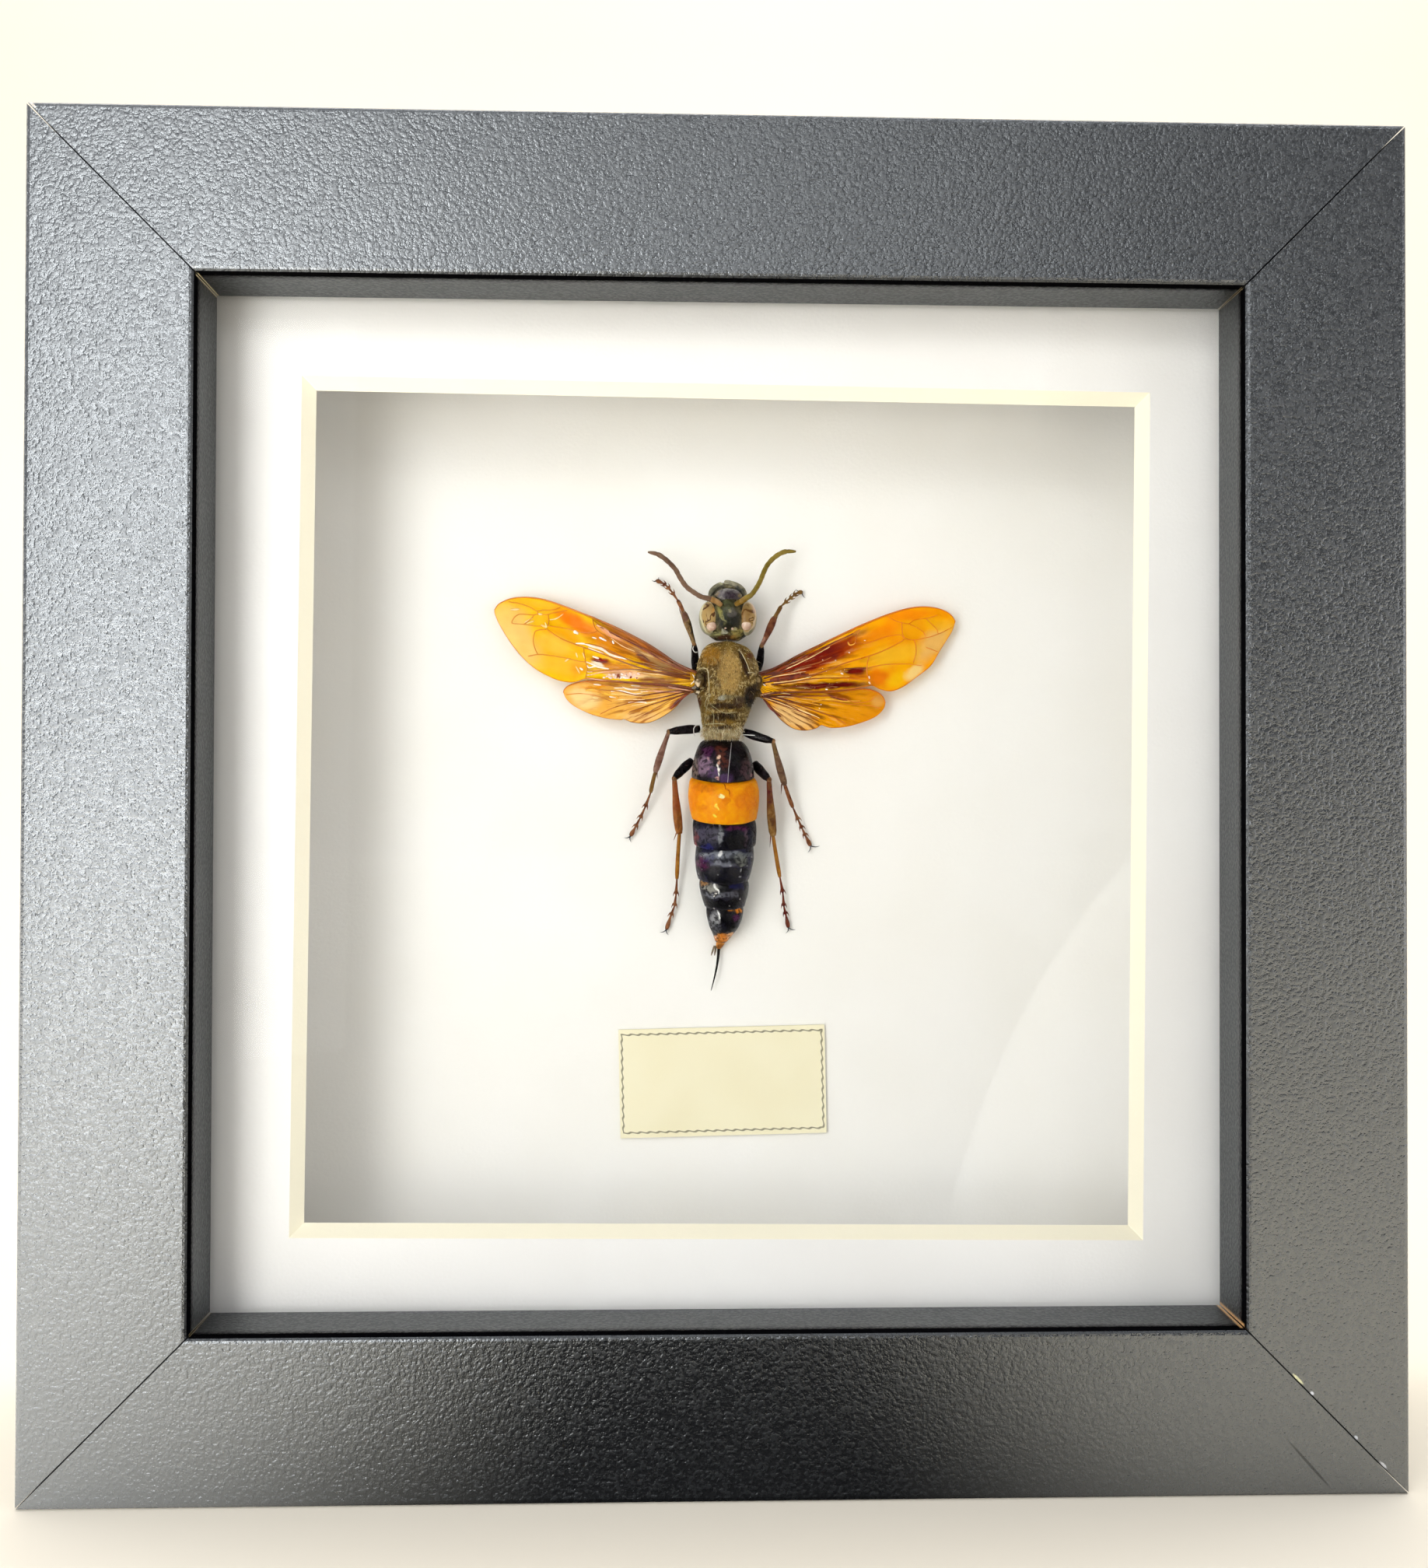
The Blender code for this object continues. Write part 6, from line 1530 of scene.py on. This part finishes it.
def make_hair_finish(name, dark, middle, light, spots=()):
    """A dull finish whose shade changes from hair to hair."""
    finish, tree, shader, place = new_finish(name)
    shade = clouds(tree, place, 2400.0, 1.0, 0.9)
    slow = clouds(tree, place, 500.0, 2.0, 0.6)
    base = blend_colours(tree, slow, rgb(dark), rgb(middle))
    base = blend_colours(tree, fade(tree, shade, 0.45, 0.85, 0.0, 0.9), base, rgb(light))
    base = patches(tree, place, base, recolour(spots, rgb))
    connect(tree, shader, {"Base Color": base, "Roughness": fade(tree, shade, 0.0, 1.0, 0.45, 0.65)})
    return finish


def felt_share(across, up):
    """Less hair on the bare plates at the sides and in the grooves."""
    bare = ((3.1, 17.3, 0.4, 1.6), (-1.9, 14.9, 0.8, 1.5), (4.2, 13.2, 0.9, 1.4), (0.9, 11.95, 2.2, 0.4),
        (0.6, 10.5, 1.9, 0.7))
    share = 1.0
    for a, u, w, t in bare:
        share = min(share, max(0.12, ((across - a) / w) ** 2 + ((up - u) / t) ** 2 - 0.3))
    return share


FELT = plant_hairs(THORAX, 13000, 0.25, 0.034, Vector((0.0, 0.2, -1.7)), 11, felt_share)
FELT_FINISH = make_hair_finish("felt_hair", (92, 62, 14), (160, 128, 56), (228, 206, 144), FELT_SPOTS)
HAIR = new_piece("thorax_hair", FELT, [FELT_FINISH], None)
LONG = plant_hairs(THORAX, 900, 0.7, 0.026, Vector((0.0, 0.1, -1.0)), 23, lambda a, u: 1.0 if u < 9.6 else 0.015)
LONG_FINISH = make_hair_finish("long_pale_hair", (166, 130, 78), (218, 192, 138), (252, 244, 214))
LONG_HAIR = new_piece("waist_hair", LONG, [LONG_FINISH], None)
print("hair faces:", len(HAIR.data.polygons), len(LONG_HAIR.data.polygons))

# %% [markdown]
# ## Label and hardware
# The label is cream paper whose border is a thin twisted line. It is drawn in the
# material: the distance to the border is computed in the label's own turned frame, and a
# wave along the line twists it. The hidden back has a brown hardboard panel and thin
# plated steel.


# %% Label paper
def make_label():
    finish, tree, shader, place = new_finish("cream_label_paper")
    middle = in_box(0.85, -35.35, 0.0)
    values = {"Vector": place, "Center": middle, "Angle": math.radians(1.35)}
    level = add_node(tree, "ShaderNodeVectorRotate", values, rotation_type="Y_AXIS").outputs[0]
    parts = axes(tree, vector_maths(tree, "SUBTRACT", level, middle))
    side = maths(tree, "SUBTRACT", maths(tree, "ABSOLUTE", parts["X"]), 12.7 * MM)
    top = maths(tree, "SUBTRACT", maths(tree, "ABSOLUTE", parts["Z"]), 6.2 * MM)
    edge = maths(tree, "MAXIMUM", side, top)
    along = maths(tree, "MULTIPLY", maths(tree, "ADD", parts["X"], parts["Z"]), 5200.0)
    twist = maths(tree, "MULTIPLY", maths(tree, "SINE", along), 0.07 * MM)
    near = maths(tree, "ABSOLUTE", maths(tree, "ADD", edge, twist))
    line = fade(tree, near, 0.06 * MM, 0.13 * MM, 1.0, 0.0)
    fibre = clouds(tree, place, 900.0, 4.0, 0.5)
    paper = blend_colours(tree, clouds(tree, place, 120.0), rgb((244, 238, 208)), rgb((238, 230, 196)))
    paper = blend_colours(tree, maths(tree, "MULTIPLY", line, 0.8), paper, rgb((96, 92, 66)))
    connect(tree, shader, {"Base Color": paper, "Roughness": fade(tree, fibre, 0.0, 1.0, 0.6, 0.8)})
    bump(tree, shader, fibre, 0.03, 0.3)
    return finish


dress("label", make_label())


# %% Hardboard and steel
def make_hardboard():
    finish, tree, shader, place = new_finish("brown_hardboard")
    fibre = clouds(tree, place, 700.0, 6.0, 0.5)
    flecks = specks(tree, place, 900.0, 0.35, 0.15)
    base = blend_colours(tree, fibre, rgb((122, 84, 50)), rgb((156, 114, 72)))
    connect(tree, shader, {"Base Color": blend_colours(tree, flecks, base, rgb((94, 62, 38))),
            "Roughness": fade(tree, fibre, 0.0, 1.0, 0.55, 0.8)})
    bump(tree, shader, fibre, 0.08, 0.5)
    return finish


def make_steel():
    finish, tree, shader, place = new_finish("thin_plated_steel")
    scratch = clouds(tree, place, 1500.0, 5.0, 0.5)
    base = blend_colours(tree, clouds(tree, place, 200.0), rgb((178, 178, 180)), rgb((204, 202, 196)))
    rough = fade(tree, scratch, 0.0, 1.0, 0.25, 0.45)
    connect(tree, shader, {"Base Color": base, "Roughness": rough, "Metallic": 1.0})
    bump(tree, shader, scratch, 0.02, 0.3)
    return finish


dress("back_panel", make_hardboard())
STEEL = make_steel()
for part in ("tab_top", "tab_right", "tab_bottom", "tab_left", "sawtooth_hanger", "hanger_nail_left",
        "hanger_nail_right"):
    dress(part, STEEL)
print("hardware dressed")

# %% [markdown]
# ## Floor, light and camera
# The box stands on a pale floor that sweeps up into a backdrop. A tall strip of light
# stands close on the left. The left rail mirrors it, and it throws the shadows of the mat
# and of the insect. The room around fills those shadows, but it is dark in front of the
# box and a little below, where the photographer stands, so that the lower rail stays
# nearly black. The floor helps with that by a painted reflection: only what a mirror sees
# of it is painted dark in the middle and given a painted glow at the left. The camera's
# place was worked out from the corners of the frame in the photograph.


# %% Pale floor and backdrop
def make_floor():
    """A flat sheet bent up at the back, as a studio sweep."""
    bm = bmesh.new()
    line = [bm.verts.new((-1.6, y, z)) for y, z in ((-1.6, 0.0), (0.25, 0.0), (0.6, 0.35), (0.6, 1.5))]
    edges = [bm.edges.new(pair) for pair in zip(line, line[1:])]
    moved = bmesh.ops.extrude_edge_only(bm, edges=edges)["geom"]
    bmesh.ops.translate(bm, verts=[v for v in moved if isinstance(v, bmesh.types.BMVert)], vec=(3.2, 0.0, 0.0))
    bend = [e for e in bm.edges if abs(e.verts[0].co.x - e.verts[1].co.x) > 1.0 and 0.2 < e.verts[0].co.y < 0.61]
    bend = [e for e in bend if e.verts[0].co.z < 1.0]
    bmesh.ops.bevel(bm, geom=bend, offset=0.16, affect="EDGES", segments=10, profile=0.5, material=-1)
    floor = to_object("pale_floor", bm)
    return floor


def make_floor_finish():
    finish, tree, shader, place = new_finish("pale_floor_paint")
    wash = clouds(tree, place, 2.5, 2.0, 0.5)
    pale = blend_colours(tree, wash, rgb((253, 246, 230)), rgb((250, 240, 220)))
    # mirror rays see a painted reflection here: a dark middle and a painted glow at the left
    mirrored = add_node(tree, "ShaderNodeLightPath").outputs["Is Glossy Ray"]
    across = axes(tree, place)["X"]
    dark = fade(tree, maths(tree, "ABSOLUTE", across), 15.0 * MM, 62.0 * MM, 1.0, 0.0)
    base = blend_colours(tree, maths(tree, "MULTIPLY", mirrored, dark), pale, rgb((4, 3, 3)))
    painted_glow = fade(tree, across, -30.0 * MM, -110.0 * MM, 0.0, 1.3)
    connect(tree, shader, {"Base Color": base, "Roughness": 0.8, "Emission Color": (1.0, 1.0, 1.0, 1.0),
            "Emission Strength": maths(tree, "MULTIPLY", mirrored, painted_glow)})
    bump(tree, shader, clouds(tree, place, 300.0), 0.1, 0.2)
    return finish


FLOOR = make_floor()
FLOOR.data.materials.append(make_floor_finish())
print("floor faces:", len(FLOOR.data.polygons))


# %% Soft studio light
def add_light(name, place, target, width, height, power, colour=(1.0, 1.0, 1.0)):
    """A rectangular area light at a place, aimed at a target. Its height stays upright."""
    light = bpy.data.lights.new(name, "AREA")
    light.shape = "RECTANGLE"
    light.size, light.size_y = width, height
    light.energy = power
    light.color = colour
    lamp = bpy.data.objects.new(name, light)
    lamp.location = place
    lamp.rotation_euler = (Vector(place) - Vector(target)).to_track_quat("Z", "Y").to_euler()
    bpy.context.scene.collection.objects.link(lamp)
    return lamp


BOX_MIDDLE = Vector((0.0, 0.0, MIDDLE_Z))


def around_box(azimuth, elevation, distance):
    """A point around the box. Azimuth is from straight in front, positive to the right."""
    a, e = math.radians(azimuth), math.radians(elevation)
    toward = Vector((math.sin(a) * math.cos(e), -math.cos(a) * math.cos(e), math.sin(e)))
    return BOX_MIDDLE + toward * distance


add_light("key_strip", around_box(-32.0, 2.0, 0.27), BOX_MIDDLE, 0.095, 0.34, 0.43)
add_light("fill_right", around_box(58.0, 2.0, 0.7), BOX_MIDDLE, 0.4, 0.4, 0.7, (1.0, 0.97, 0.96))
add_light("sky_strip", around_box(-5.0, 27.0, 0.5), BOX_MIDDLE, 0.42, 0.12, 0.3)
add_light("backdrop_wash", (0.0, 0.12, 0.9), (0.0, 0.6, 0.1), 1.2, 0.3, 4.8)

world = bpy.data.worlds.new("studio_air")
world.use_nodes = True
bpy.context.scene.world = world
air = world.node_tree
background = next(n for n in air.nodes if n.type == "BACKGROUND")
way = add_node(air, "ShaderNodeTexCoord").outputs["Generated"]
toward_camera = vector_maths(air, "DOT_PRODUCT", way, (0.36, -0.9, 0.1))
above = maths(air, "MAXIMUM", axes(air, way)["Z"], 0.0)
room = maths(air, "MULTIPLY_ADD", above, 0.65, 0.52)
connect(air, background, {"Color": (0.95, 0.96, 1.0, 1.0),
        "Strength": maths(air, "MULTIPLY", room, fade(air, toward_camera, 0.9, 0.45, 0.28))})

# %% The camera of the photograph
lens = bpy.data.cameras.new("photo_camera")
lens.sensor_fit = "VERTICAL"
lens.sensor_height = 36.0
lens.lens = 30.36
lens.clip_start = 0.001
camera = bpy.data.objects.new("photo_camera", lens)
camera.location = (-0.00502, -0.15904, 0.07566)
camera.rotation_euler = tuple(math.radians(v) for v in (90.599, -0.170, -1.586))
bpy.context.scene.collection.objects.link(camera)
bpy.context.scene.camera = camera
bpy.context.scene.view_settings.view_transform = "Standard"
print("camera at", [round(v, 4) for v in camera.location])

# %% Update the scene
bpy.context.view_layer.update()
